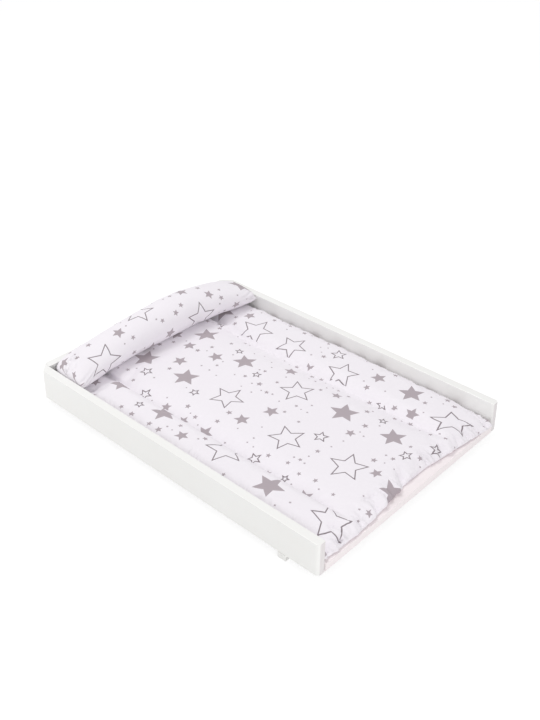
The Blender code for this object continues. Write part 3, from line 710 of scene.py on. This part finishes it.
def border_numbers(count_x, count_y):
    """Grid numbers of the outer loop, anticlockwise from the left foot corner."""
    numbers = np.arange(count_x * count_y).reshape(count_x, count_y)
    foot, head = numbers[:, 0], numbers[::-1, -1]
    left_side, right_side = numbers[0, -2:0:-1], numbers[-1, 1:-1]
    return [int(n) for n in (*foot, *right_side, *head, *left_side)]


points = grid_points(columns, rows)
print("grid of", points.shape[0] * points.shape[1], "points")

# %% Mat mesh
def ring_points(border, out, height_share, lift):
    """The border again, this far outside it, at a share of its height."""
    ring = border.copy()
    ring[:, 0] *= 1 + out / HALF_WIDTH
    ring[:, 1] = middle_y + (ring[:, 1] - middle_y) * (1 + out / half_length)
    ring[:, 2] = ring[:, 2] * height_share + lift
    return ring


def mat_faces():
    """The mat's points and faces, and the numbers of each ring's points. Long strips from foot to
    head close the last ring, which makes a lid inside the mat."""
    count_x, count_y = len(columns), len(rows)
    flat = points.reshape(-1, 3)
    loop = border_numbers(count_x, count_y)
    border = flat[loop]
    spots = [flat]
    numbers = [loop]
    for out, share, lift in RINGS:
        start = sum(len(block) for block in spots)
        spots.append(ring_points(border, out, share, lift))
        numbers.append(list(range(start, start + len(loop))))
    faces = [
        (i * count_y + j, (i + 1) * count_y + j, (i + 1) * count_y + j + 1, i * count_y + j + 1)
        for i in range(count_x - 1)
        for j in range(count_y - 1)
    ]
    for inner, outer in zip(numbers, numbers[1:]):
        for n in range(len(loop)):
            m = (n + 1) % len(loop)
            faces.append((inner[m], inner[n], outer[n], outer[m]))
    last = numbers[-1]
    foot = last[:count_x]
    head = last[count_x + count_y - 2 : 2 * count_x + count_y - 2][::-1]
    right_side = last[count_x : count_x + count_y - 2]
    left_side = last[2 * count_x + count_y - 2 :][::-1]
    for i in range(1, count_x - 2):
        faces.append((foot[i], head[i], head[i + 1], foot[i + 1]))
    faces.append((foot[0], *left_side, head[0], head[1], foot[1]))
    faces.append((foot[-2], head[-2], head[-1], *right_side[::-1], foot[-1]))
    spots = np.concatenate(spots)
    spots[:, 2] += MAT_FLOOR
    return spots, faces, numbers


mat_spots, faces, ring_numbers = mat_faces()
mat = new_object("mat_cushion", mat_spots, faces)
print(len(mat.data.vertices), "points and", len(mat.data.polygons), "faces in the mat")

# %% [markdown]
# ## The print's map
# The pattern has to lie on the cloth, so its map is measured along the cloth: outwards from the
# middle column and up from the foot row, with the lengths of the rings added round the edge.
# A strip of cloth is sewn into each seam, so the print skips it and a star can end at the seam.

# %% Map the print
SEAM_TAKE_IN = 9 * MM


def cloth_places(mesh, rings):
    """Distance along the cloth of every point, as (across, along), in metres."""
    spots = spots_of(mesh)
    grid = spots[: len(columns) * len(rows)].reshape(len(columns), len(rows), 3)
    across = lengths_along(grid)
    across -= across[len(columns) // 2]
    places = np.zeros((len(spots), 2))
    both = np.stack([across, lengths_along(grid, axis=1)], axis=-1)
    places[: len(columns) * len(rows)] = both.reshape(-1, 2)
    loop = np.array(rings[0])
    outward = spots[rings[3], :2] - spots[rings[0], :2]
    outward /= np.linalg.norm(outward, axis=1)[:, None]
    walked = np.zeros(len(loop))
    for inner, outer in zip(rings, rings[1:]):
        walked += np.linalg.norm(spots[outer] - spots[inner], axis=1)
        places[outer] = places[loop] + outward * walked[:, None]
    return places


def write_map(mesh, places, skipped=None):
    """Writes the map, with what each face's corners skip added to it."""
    layer = mesh.uv_layers.get(PRINT_MAP) or mesh.uv_layers.new(name=PRINT_MAP)
    spots = places[read(mesh.loops, "vertex_index", kind=int)]
    if skipped is not None:
        spots[:, 0] += skipped
    layer.data.foreach_set("uv", spots.astype(np.float32).ravel())


def seam_skips(mesh):
    """What the print skips at each face corner: a seam's take-in for each seam left of the face."""
    centre_x = read(mesh.polygons, "center", 3)[:, 0]
    seams_left = (centre_x > LEFT_SEAM).astype(float) + (centre_x > RIGHT_SEAM)
    seams_left = np.repeat(seams_left, read(mesh.polygons, "loop_total", kind=int))
    along = spots_of(mesh)[read(mesh.loops, "vertex_index", kind=int), 1]
    return seams_left * smooth((along - FOOT_Y) / SEAM_FADE) * SEAM_TAKE_IN


places = cloth_places(mat.data, ring_numbers)
write_map(mat.data, places, seam_skips(mat.data))
print("the print runs", round(places[:, 1].max() / MM), "mm along the mat")

# %% [markdown]
# ## Filling the mat
# Wadding pushes the cover out from inside, and the sewn lines, the hem and the weight of the
# bolster hold it back. Blender's cloth does the same: the held points are pinned, a light
# pressure fills the rest, and the cloth is cut a little too large, so it puckers beside the seams.
# Nothing moves further than a cap, and the result is written into the mesh.

# %% Fill with cloth simulation
FILL_FRAMES = 20
FILL_PRESSURE = 4
MAT_EASE = 0.012
MAT_CAP = 2.5 * MM
EDGE_HOLD = 0.3


def fill_out(obj, held, ease, cap):
    """Blows a closed mesh up from inside. held is 0 to 1 per point, ease the spare cloth."""
    mesh = obj.data
    before = spots_of(mesh)
    group = obj.vertex_groups.new(name="held")
    for number, weight in enumerate(held):
        if weight > 0:
            group.add([number], float(weight), "REPLACE")
    modifier = obj.modifiers.new("filling", "CLOTH")
    cloth = modifier.settings
    cloth.quality = 4
    cloth.mass = 0.25
    cloth.tension_stiffness = cloth.compression_stiffness = 12
    cloth.shear_stiffness = 4
    cloth.bending_stiffness = 0.4
    cloth.use_pressure = True
    cloth.uniform_pressure_force = FILL_PRESSURE
    cloth.vertex_group_mass = "held"
    cloth.shrink_min = -ease
    cloth.effector_weights.gravity = 0
    modifier.collision_settings.use_collision = False
    scene = bpy.context.scene
    for number in range(1, FILL_FRAMES + 1):
        scene.frame_set(number)
    filled = obj.evaluated_get(bpy.context.evaluated_depsgraph_get()).to_mesh()
    moved = spots_of(filled) - before
    obj.modifiers.remove(modifier)
    obj.vertex_groups.remove(group)
    scene.frame_set(1)
    far = np.linalg.norm(moved, axis=1)
    moved *= (cap * np.tanh(far / cap) / np.maximum(far, 1e-9))[:, None]
    put(mesh, before + moved)
    print("the cloth moved up to", round(far.max() / MM, 1), "mm before the cap")


def subdivide(obj, levels):
    modifier = obj.modifiers.new("finer cloth", "SUBSURF")
    modifier.levels = modifier.render_levels = levels
    bpy.context.view_layer.objects.active = obj
    bpy.ops.object.select_all(action="DESELECT")
    obj.select_set(True)
    bpy.ops.object.modifier_apply(modifier=modifier.name)
    bpy.ops.object.shade_smooth()
    obj.select_set(False)


held = np.ones(len(mat.data.vertices))
x, y = np.meshgrid(columns, rows, indexing="ij")
from_foot = smooth((y - FOOT_Y) / SEAM_FADE)
on_seam = np.zeros_like(x)
on_seam[[left_column, right_column], :] = 1
under_bolster = smooth((y - bolster_front(x)) / PRESS_RISE + 1)
held[: len(columns) * len(rows)] = np.maximum(on_seam * from_foot, under_bolster).ravel()
for ring in ring_numbers[1:HELD_RINGS_FROM]:
    held[ring] = EDGE_HOLD
fill_out(mat, held, MAT_EASE, MAT_CAP)
subdivide(mat, 1)
print(len(mat.data.polygons), "faces in the mat")

# %% [markdown]
# ## Folds and gathers of the mat
# An elastic in the hem gathers the cover round its edge, so the foot edge waves and small folds
# run in from it. The folds that the photograph shows are placed one by one, each as a ridge or a
# groove along a short line. Fine gathers are a wave that fades inwards. Both push the cloth
# along its own normal, so that they also show on the rounded edge.
#
# FOOT_EDGE gives how far the foot edge lies inside the base's edge at places across the mat, in
# millimetres. A row of FOLDS gives where a fold starts and ends (x and y), its height, and its
# widths to the right and left of its line, in millimetres. A height below 0 makes a groove.

# %% Wavy edge, gathers and folds
FOOT_EDGE = (
    (-250, 2), (-235, 4), (-220, 3), (-190, 3), (-157, 2.3), (-125, 4), (-93, 7.5), (-45, 14),
    (-20, 16), (-11, 23), (-3, 18.5), (4, 20.5), (35, 20), (60, 18), (85, 14), (112, 11),
    (145, 7), (177, 3), (210, -1), (239, -4.5), (250, -5),
)
EDGE_FADE = 60 * MM
GATHER_DEPTH = 3.6 * MM
GATHER_REACH = 38 * MM
GATHER_SPACING = 18 * MM
GATHER_SLANT = 0.3
SIDE_GATHER_DEPTH = 2.6 * MM
SIDE_GATHER_SPACING = 25 * MM
SIDE_GATHER_SLANT = 0.4
SIDE_DRAW = 2.2 * MM
CORNER_GATHER = 3.5 * MM
CORNER_SPACING = 13 * MM
CORNER_SLANT = -0.5
CORNER_REACH = 62 * MM
EDGE_WANDER = 1.8 * MM
FOLDS = (
    (-13, -366, 4, -326, -14, 5, 9),
    (-32, -364, -18, -328, 6, 8, 8),
    (6, -362, 22, -328, 4, 7, 9),
    (-104, -378, -88, -332, -12, 5, 8),
    (-118, -374, -106, -332, 6, 7, 7),
    (-86, -374, -62, -336, 5, 8, 8),
    (-98, -344, -56, -352, -6, 4, 4),
    (-184, -388, -208, -360, -16, 5, 7),
    (-205, -368, -226, -350, -10, 5, 6),
    (-214, -386, -226, -346, 9, 7, 7),
    (-166, -382, -190, -350, 7, 6, 6),
    (-150, -376, -136, -342, -8, 4, 6),
    (-242, -386, -232, -340, -19, 7, 6),
    (-247, -372, -240, -322, 6, 5, 5),
    (-196, -344, -172, -350, -6, 4, 4),
    (104, -374, 113, -334, -12, 5, 8),
    (120, -370, 134, -334, 6, 7, 7),
    (58, -364, 67, -332, -7, 5, 6),
    (150, -374, 153, -340, -8, 5, 6),
    (180, -378, 171, -338, -8, 5, 6),
    (212, -382, 199, -334, -10, 5, 6),
    (238, -386, 222, -340, -8, 5, 6),
    (141, 316, 135, 160, -10, 24, 4),
    (152, 300, 146, 214, -12, 20, 6),
    (128, 306, 126, 176, 5, 5, 12),
    (-158, 304, -164, 190, -8, 4, 18),
    (-244, 274, -180, 234, -10, 8, 8),
    (-200, 246, -160, 222, 4, 7, 7),
)
FOLD_RISE = 3
FOLD_LEAD = 1.6
RIDGE_POWER = 2
GROOVE_POWER = 1.2
SURFACE_SWELL = 0.9 * MM
SURFACE_SPACING = 70 * MM
PUCKER_SPACING = 11 * MM
PUCKER_DEPTH = 0.6 * MM
PUCKER_PLACE = 6 * MM
PUCKER_WIDTH = 5 * MM
SEAM_BARE = 2 * MM
SEAM_EASE = 14 * MM
BOLSTER_OVERLAP = 10 * MM
HEM_PUCKER = 0.8 * MM
HEM_PUCKER_SPACING = 9 * MM
HEM_WIDTH = 16 * MM
HEM_TOP = 0.5 * MM
FACES_DOWN = -0.5


def fold_height(x, y, fold):
    """A round ridge or a creased groove, strongest near its start and fading towards its end."""
    x1, y1, x2, y2, height, right_width, left_width = (value * MM for value in fold)
    run = np.array([x2 - x1, y2 - y1])
    along = ((x - x1) * run[0] + (y - y1) * run[1]) / (run @ run)
    across = ((x - x1) * -run[1] + (y - y1) * run[0]) / np.linalg.norm(run)
    width = np.where(across * run[1] < 0, right_width, left_width)
    tapered = smooth(1 - np.clip(along, 0, 1)) * smooth(along * FOLD_RISE + FOLD_LEAD)
    power = RIDGE_POWER if height > 0 else GROOVE_POWER
    return height * tapered * np.exp(-(np.abs(across / width) ** power))


def waves(along, spacing, seed):
    """An uneven wave along a line, from -1 to 1, made of three that do not quite fit together."""
    turns = along / spacing * math.tau
    drift = 1.7 * np.sin(turns * 0.173 + seed)
    main, second = 0.55 * np.sin(turns + drift), 0.3 * np.sin(turns * 1.73 + seed * 2)
    return main + second + 0.15 * np.sin(turns * 0.61 + 5)


def gathers(along, spacing, seed):
    """Cloth drawn together by elastic: round ridges with a sharp crease between each two."""
    turns = along / spacing * math.pi
    drift = 1.9 * np.sin(turns * 0.37 + seed) + 1.1 * np.sin(turns * 0.83 + 2 * seed)
    strength = 0.65 + 0.35 * np.sin(turns * 0.29 + 3 * seed)
    return (2 * np.abs(np.sin(turns + drift)) ** 0.7 - 1.3) * strength


def foot_rim(spots):
    """Where the outermost cloth of the foot edge lies: y against x."""
    bins = np.arange(-HALF_WIDTH, HALF_WIDTH + CLOTH_STEP, CLOTH_STEP)
    nearest = np.digitize(spots[:, 0], bins)
    lowest = [spots[nearest == n, 1].min(initial=FOOT_Y + EDGE_FADE) for n in range(1, len(bins))]
    return bins[:-1] + CLOTH_STEP / 2, np.array(lowest)


def fold_mat(spots, facing):
    """Moves the foot edge to its line, then pushes each point in or out along its normal.
    What faces down stays at the hem's inner line, where the elastic is, and isn't folded."""
    x, y, z = spots.T
    faces_down = facing[:, 2] < FACES_DOWN
    tall = np.clip((z - MAT_FLOOR) / END_EDGE_HEIGHT, 0, 1) * smooth(1 - facing[:, 2] / FACES_DOWN)
    across_hem = np.clip(1 - (y - FOOT_Y) / HEM_WIDTH, 0, 1)
    table = np.array(FOOT_EDGE) * MM
    wanted = foot_edge_y + np.interp(x, table[:, 0], table[:, 1]) - np.interp(x, *foot_rim(spots))
    moved = spots.copy()
    moved[:, 1] += wanted * np.where(faces_down, across_hem, smooth(1 - (y - FOOT_Y) / EDGE_FADE))
    y = moved[:, 1]
    lift = sum(fold_height(x, y, fold) for fold in FOLDS)
    from_foot = y - np.interp(x, table[:, 0], table[:, 1]) - foot_edge_y
    near_foot = smooth(1 - from_foot / GATHER_REACH)
    near_side = smooth(1 - (HALF_WIDTH - np.abs(x)) / GATHER_REACH)
    in_corner = smooth(1 - (HALF_WIDTH - np.abs(x)) / CORNER_REACH) * near_foot
    along_side = y + SIDE_GATHER_SLANT * np.abs(x)
    pushed = tall * (
        lift
        + gathers(x + GATHER_SLANT * (y - FOOT_Y), GATHER_SPACING, 1.3) * near_foot * GATHER_DEPTH
        + gathers(along_side, SIDE_GATHER_SPACING, 4.1) * near_side * SIDE_GATHER_DEPTH
        + gathers(x + CORNER_SLANT * (y - FOOT_Y), CORNER_SPACING, 2.7) * in_corner * CORNER_GATHER
    )
    moved += facing * pushed[:, None]
    moved[:, 1] += waves(x, GATHER_SPACING, 0.4) * near_foot * EDGE_WANDER * tall
    drawn = (1 + waves(y, 2 * SIDE_GATHER_SPACING, 3.3)) / 2 * near_side * SIDE_DRAW * tall
    moved[:, 0] -= np.sign(x) * drawn
    from_seam = np.minimum(np.abs(x - LEFT_SEAM), np.abs(x - RIGHT_SEAM))
    puckered = np.exp(-((from_seam - PUCKER_PLACE) / PUCKER_WIDTH) ** 2)
    puckered *= smooth((y - FOOT_Y) / SEAM_FADE)
    moved[:, 2] += waves(y, PUCKER_SPACING, 2.2) * puckered * PUCKER_DEPTH * tall
    soft = noise_on(x / SURFACE_SPACING, y / SURFACE_SPACING, 0)
    off_seam = smooth((from_seam - SEAM_BARE) / SEAM_EASE) * (y < bolster_front(x) + BOLSTER_OVERLAP)
    moved[:, 2] += soft * SURFACE_SWELL * off_seam * tall
    to_side, to_end = np.abs(x) / HALF_WIDTH, np.abs(y - middle_y) / half_length
    under = (z < MAT_FLOOR + HEM_TOP) & (np.maximum(to_side, to_end) < 1)
    puckers = waves(np.where(to_side > to_end, y, x), HEM_PUCKER_SPACING, 0.6)
    moved[:, 2] += np.maximum(puckers, 0) * HEM_PUCKER * under
    return moved


mat_spots = fold_mat(spots_of(mat.data), read(mat.data.vertex_normals, "vector", 3))
print(len(FOLDS), "folds placed; the mat now reaches y", round(mat_spots[:, 1].min() / MM, 1), "mm")

# %% Clearance from the rim
RIM_CLEARANCE = 0.5 * MM
SPILL = 3.5 * MM
inner_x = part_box("right_side_panel")[0].x
inner_head_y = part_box("head_panel")[0].y


def keep_inside(spots, floor_z):
    """Holds cloth off the panels round it, and off what it lies on."""
    kept = spots.copy()
    on_base = kept[:, 1] > foot_edge_y - RIM_CLEARANCE
    limit = np.where(on_base, inner_x - RIM_CLEARANCE, inner_x + SPILL)
    kept[:, 0] = np.clip(kept[:, 0], -limit, limit)
    kept[:, 1] = np.minimum(kept[:, 1], inner_head_y - RIM_CLEARANCE)
    kept[:, 2] = np.maximum(kept[:, 2], floor_z)
    return kept


put(mat.data, keep_inside(mat_spots, MAT_FLOOR))
mat.data.materials.append(finishes["print_cloth"])
print("the mat is", round((mat.bound_box[1][2] - mat.bound_box[0][2]) / MM, 1), "mm high")

# %% [markdown]
# ## The bolster
# The bolster is a stuffed roll across the head end. It is fullest a little to the right of its
# middle, thins towards its ends and is pressed into the corners of the rim. It is made of rings
# along its length, filled by the same simulation, and closed at both ends, where the cloth is
# gathered. The shares say how deep and how full it is at places between its middle and an end.

# %% Bolster rings
BOLSTER_STEP = 5 * MM
GIRTH_POINTS = 56
SIT_SHARE = 0.92
LEAN_SHARE = 0.7
PLACES = (0.2, 0.45, 0.7, 0.87, 0.94, 0.975, 0.994, 1)
DEPTH_SHARES = (1, 1, 1, 1, 0.96, 0.88, 0.72, 0.25)
FULLNESS_SHARES = (1, 1, 1, 1, 0.88, 0.7, 0.45, 0.1)
BOLSTER_SEAT = MAT_FLOOR + PRESSED_HEIGHT + LINING_GAP
EVEN_SHARE = 0.86
EVEN_GAP = 0.002
END_RINGS = 14
END_CROWDING = 1.6


def bolster_places():
    """Even places over the middle, then ever closer ones towards each end."""
    middle = np.arange(-EVEN_SHARE, EVEN_SHARE, BOLSTER_STEP / HALF_WIDTH)
    middle = middle[np.abs(middle) < EVEN_SHARE - EVEN_GAP]
    end = 1 - (1 - EVEN_SHARE) * np.linspace(0, 1, END_RINGS)[1:] ** END_CROWDING
    return np.sort(np.concatenate([-end, middle, end]))


def bolster_ring(place):
    x = place * HALF_WIDTH
    deep = float(bolster_half_depth(x))
    tall = float(bolster_half_height(x))
    depth = float(np.interp(abs(place), PLACES, DEPTH_SHARES))
    fullness = float(np.interp(abs(place), PLACES, FULLNESS_SHARES))
    centre_y = HEAD_Y - deep - deep * (1 - depth) * LEAN_SHARE
    angle = math.tau * (np.arange(GIRTH_POINTS) + 0.5) / GIRTH_POINTS
    y = centre_y + deep * depth * np.cos(angle)
    z = BOLSTER_SEAT + tall * SIT_SHARE + tall * fullness * np.sin(angle)
    return np.stack([np.full(GIRTH_POINTS, x), y, np.maximum(z, BOLSTER_SEAT)], axis=-1)


places = bolster_places()
rings = np.array([bolster_ring(place) for place in places])
print(len(places), "rings of", GIRTH_POINTS, "points")

# %% Bolster mesh
BOLSTER_PRINT_SHIFT = np.array([2.484, 2.42])


def bolster_faces(count, around):
    """A tube with a fan at each end, round the two points that come after those of the rings."""
    faces = tube_faces(count, around)
    for j in range(around):
        k = (j + 1) % around
        faces.append((k, j, count * around))
        faces.append(((count - 1) * around + j, (count - 1) * around + k, count * around + 1))
    return faces


spots = [*rings.reshape(-1, 3), rings[0].mean(axis=0), rings[-1].mean(axis=0)]
bolster = new_object("bolster_cushion", spots, bolster_faces(len(rings), GIRTH_POINTS))
face_outwards(bolster.data)
middle_ring = lengths_along(rings[len(rings) // 2])
walk = np.stack([np.repeat(rings[:, 0, 0], GIRTH_POINTS), np.tile(middle_ring, len(rings))], axis=-1)
walk = np.concatenate([walk, [[-HALF_WIDTH, 0], [HALF_WIDTH, 0]]]) + BOLSTER_PRINT_SHIFT
write_map(bolster.data, walk)
print("girth", round(middle_ring[-1] / MM), "mm;", len(bolster.data.polygons), "faces")

# %% Fill and finish the bolster
BOLSTER_EASE = 0.015
BOLSTER_CAP = 2 * MM
SEAT_HOLD = 0.5 * MM
SEAT_FADE = 6 * MM
END_GATHER_REACH = 70 * MM
END_GATHER_SPACING = 15 * MM
END_GATHER_DEPTH = 3.2 * MM
END_GATHER_SLANT = 0.25
MEAN_RADIUS = 40 * MM
UNEVEN_SPACING = 45 * MM
UNEVEN_DEPTH = 1.8 * MM


def fold_bolster(spots):
    """Gathers that run in from both ends and fade, and a soft unevenness all over."""
    x, y, z = spots.T
    middle_z = BOLSTER_SEAT + bolster_half_height(x) * SIT_SHARE
    turn = np.arctan2(z - middle_z, y - (HEAD_Y - bolster_half_depth(x)))
    near_end = smooth(1 - (HALF_WIDTH - np.abs(x)) / END_GATHER_REACH)
    out = np.stack([np.zeros_like(x), np.cos(turn), np.sin(turn)], axis=-1)
    free = smooth((z - BOLSTER_SEAT) / SEAT_FADE)
    soft = noise_on(*(spots / UNEVEN_SPACING).T)
    along = turn * MEAN_RADIUS + x * END_GATHER_SLANT
    push = gathers(along, END_GATHER_SPACING, 0.7) * near_end * END_GATHER_DEPTH
    return spots + out * ((push + soft * UNEVEN_DEPTH) * free)[:, None]


spots = spots_of(bolster.data)
held = (spots[:, 2] < BOLSTER_SEAT + SEAT_HOLD).astype(float)
held[-2:] = 1
fill_out(bolster, held, BOLSTER_EASE, BOLSTER_CAP)
subdivide(bolster, 1)
put(bolster.data, keep_inside(fold_bolster(spots_of(bolster.data)), BOLSTER_SEAT))
bolster.data.materials.append(finishes["print_cloth"])
print(len(bolster.data.polygons), "faces in the bolster")

# %% [markdown]
# ## Underside: base cloth and elastic
# Lifted up, the mat shows a plain cotton underside and the elastic that runs inside the hem.
# The cloth is one flat sheet with a little unevenness. The elastic is a band that waves, because
# it is stitched on stretched and then draws together.

# %% Base cloth
BASE_STEP = 6 * MM
SHEET_THICKNESS = 0.5 * MM
SHEET_LIFT = 0.45 * MM
SHEET_UNEVEN = 0.12 * MM
SHEET_WAVES_PER_M = 30


def flat_sheet(name, low, high, step):
    """A flat sheet of even squares, as large as the box between two corners."""
    bpy.ops.object.select_all(action="DESELECT")
    size = high - low
    bpy.ops.mesh.primitive_grid_add(
        x_subdivisions=round(size.x / step), y_subdivisions=round(size.y / step), size=1,
        location=(low + high) / 2,
    )
    sheet = bpy.context.object
    sheet.name = sheet.data.name = name
    sheet.dimensions = (size.x, size.y, 0)
    bpy.ops.object.transform_apply(location=True, rotation=False, scale=True)
    return sheet


cloth_low, cloth_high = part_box("mat_base_cloth")
base_cloth = flat_sheet("mat_base_cloth_sheet", cloth_low, cloth_high, BASE_STEP)
spots = spots_of(base_cloth.data)
x, y = spots[:, :2].T * SHEET_WAVES_PER_M
spots[:, 2] = cloth_low.z + SHEET_LIFT + noise_on(x, y, 0) * SHEET_UNEVEN
put(base_cloth.data, spots)
base_cloth.data.uv_layers[0].name = PRINT_MAP
write_map(base_cloth.data, spots[:, :2])
thick = base_cloth.modifiers.new("thickness", "SOLIDIFY")
thick.thickness = SHEET_THICKNESS
thick.offset = 0
bpy.ops.object.modifier_apply(modifier=thick.name)
base_cloth.data.materials.append(finishes["plain_cloth"])
print(len(base_cloth.data.polygons), "faces in the base cloth")

# %% Elastic in the hem
ELASTIC_STEP = 2.5 * MM
ELASTIC_WIDTH = 6 * MM
ELASTIC_CORNER = 22 * MM
ELASTIC_CORNER_STEPS = 12
ELASTIC_SHARE = 0.93
ELASTIC_RUFFLE = 9 * MM
ELASTIC_WAVE = 0.35 * MM
ELASTIC_CURL = 0.12 * MM
CURL_PER_RUFFLE = 0.12
ELASTIC_LAYERS = (0.1 * MM, 0.75 * MM)
RIB_SPACING = 1.2 * MM
PICK_SPACING = 0.8 * MM


def round_corner_loop(half_x, half_y, middle_y, radius, step):
    """Even points round a rectangle with round corners, anticlockwise, and the way out at each."""
    points, outs = [], []
    for turn in range(4):
        start = math.tau * turn / 4
        sign_x, sign_y = ((1, 1), (-1, 1), (-1, -1), (1, -1))[turn]
        centre = np.array([sign_x * (half_x - radius), sign_y * (half_y - radius)])
        for angle in np.linspace(start, start + math.tau / 4, ELASTIC_CORNER_STEPS):
            outs.append((math.cos(angle), math.sin(angle)))
            points.append(centre + radius * np.array(outs[-1]))
    points, outs = np.array(points + points[:1]), np.array(outs + outs[:1])
    walked = lengths_along(points)
    stops = np.linspace(0, walked[-1], round(walked[-1] / step), endpoint=False)
    place = np.stack([np.interp(stops, walked, points[:, n]) for n in (0, 1)], axis=-1)
    out = np.stack([np.interp(stops, walked, outs[:, n]) for n in (0, 1)], axis=-1)
    place[:, 1] += middle_y
    return place, out / np.linalg.norm(out, axis=1)[:, None], stops


def elastic_finish():
    material, tree = new_finish("ribbed woven elastic")
    place = add_node(tree, "ShaderNodeUVMap", uv_map=PRINT_MAP)
    ribs = bands_at(tree, place, RIB_SPACING, "Y")
    picks = bands_at(tree, place, PICK_SPACING, "X", {"Distortion": 0.8})
    height = maths(tree, "MULTIPLY_ADD", picks, 0.5, ribs)
    colour = blend(tree, ribs, linear("#D9D7D5"), linear("#EFEEEC"))
    end_surface(tree, colour, 0.72, (height, 0.5, 0.2 * MM))
    return material


elastic_low, elastic_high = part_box("hem_elastic")
loop, outward, walked = round_corner_loop(
    elastic_high.x - ELASTIC_WIDTH / 2,
    (elastic_high.y - elastic_low.y) / 2 - ELASTIC_WIDTH / 2,
    (elastic_high.y + elastic_low.y) / 2,
    ELASTIC_CORNER,
    ELASTIC_STEP,
)
ruffle = waves(walked, ELASTIC_RUFFLE, 0.9) * ELASTIC_WAVE
inner_lift, outer_lift = ELASTIC_LAYERS
profile = [(share, inner_lift) for share in (-1, 0, 1)] + [(share, outer_lift) for share in (1, 0, -1)]
band = np.zeros((len(loop), len(profile), 3))
for n, (share, lift) in enumerate(profile):
    out = share * ELASTIC_WIDTH / 2 * ELASTIC_SHARE + ruffle * share
    curl = (ELASTIC_CURL + CURL_PER_RUFFLE * np.abs(ruffle)) * (share != 0)
    band[:, n, :2] = loop + outward * out[:, None]
    band[:, n, 2] = elastic_low.z + lift + curl
count, around = band.shape[:2]
elastic = new_object("hem_elastic_band", band.reshape(-1, 3), tube_faces(count, around, closed=True))
face_outwards(elastic.data)
across = np.array([share * ELASTIC_WIDTH / 2 for share, _ in profile])
write_map(elastic.data, np.stack([np.repeat(walked, around), np.tile(across, count)], axis=-1))
elastic.data.materials.append(elastic_finish())
elastic.data.polygons.foreach_set("use_smooth", [True] * len(elastic.data.polygons))
print("elastic runs", round(walked[-1], 2), "m round the hem,", len(elastic.data.polygons), "faces")

# %% [markdown]
# ## Stitches
# Both lines along the mat are lockstitch in white polyester thread. One stitch is a short fat
# grain whose ends dive into the cloth. It is modelled once and copied along each seam, where it
# takes its height from the cloth under it.

# %% Stitches along the seams
STITCH_LENGTH = 3.2 * MM
STITCH_PITCH = 4 * MM
THREAD_RADIUS = 0.32 * MM
STITCH_DIVE = 0.3 * MM
SEAM_START = FOOT_Y + 52 * MM
SEAM_END_GAP = 2 * MM
PLY_SPACING = 0.35 * MM

bpy.ops.object.select_all(action="DESELECT")
bpy.ops.mesh.primitive_uv_sphere_add(
    segments=6, ring_count=6, radius=1, location=(0, 0, 0), rotation=(math.pi / 2, 0, 0)
)
stitch = bpy.context.object
stitch.name = stitch.data.name = "seam_stitches"
stitch.scale = (THREAD_RADIUS, THREAD_RADIUS, STITCH_LENGTH / 2)
bpy.ops.object.transform_apply(location=False, rotation=True, scale=True)
grain = spots_of(stitch.data)
grain[:, 2] -= STITCH_DIVE * (grain[:, 1] / (STITCH_LENGTH / 2)) ** 2
put(stitch.data, grain)
bpy.ops.object.shade_smooth()

mat_tree = BVHTree.FromPolygons(
    [v.co.copy() for v in mat.data.vertices], [tuple(face.vertices) for face in mat.data.polygons]
)


def cloth_top(x, y):
    return mat_tree.ray_cast(Vector((x, y, 1)), Vector((0, 0, -1)))[0].z


copies = []
for seam_x in (LEFT_SEAM, RIGHT_SEAM):
    end = float(bolster_front(np.array(seam_x))) - SEAM_END_GAP
    for y in np.arange(SEAM_START, end, STITCH_PITCH):
        x = seam_x * (1 - EDGE_INSET / HALF_WIDTH)
        back, front = cloth_top(x, y - STITCH_PITCH / 3), cloth_top(x, y + STITCH_PITCH / 3)
        one = stitch.copy()
        bpy.context.scene.collection.objects.link(one)
        one.location = (x, y, (back + front) / 2 + THREAD_RADIUS / 2)
        one.rotation_euler = (math.atan2(front - back, STITCH_PITCH * 2 / 3), 0, 0)
        copies.append(one)
stitch.location = copies[-1].location
stitch.rotation_euler = copies[-1].rotation_euler
bpy.data.objects.remove(copies.pop())
bpy.ops.object.select_all(action="DESELECT")
for one in [*copies, stitch]:
    one.select_set(True)
bpy.context.view_layer.objects.active = stitch
bpy.ops.object.join()
bpy.ops.object.transform_apply(location=True, rotation=True, scale=True)
thread, tree = new_finish("spun polyester sewing thread")
place = add_node(tree, "ShaderNodeTexCoord", out="Object")
plies = bands_at(tree, place, PLY_SPACING, "DIAGONAL")
colour = blend(tree, plies, linear("#E4DFE6"), linear("#F6F3F7"))
end_surface(tree, colour, 0.55, (plies, 0.6, 0.1 * MM))
stitch.data.materials.clear()
stitch.data.materials.append(thread)
print(len(copies) + 1, "stitches,", len(stitch.data.polygons), "faces")

# %% Ride and replace
for piece, nodes in (
    (elastic, ("hem_elastic",)),
    (mat, ("mat_cover", "left_cushion_filling", "centre_filling", "right_cushion_filling")),
    (bolster, ("bolster_cover", "bolster_filling")),
    (base_cloth, ("mat_base_cloth",)),
):
    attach(piece, "mat")
    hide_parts(*nodes)
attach(stitch, "mat")
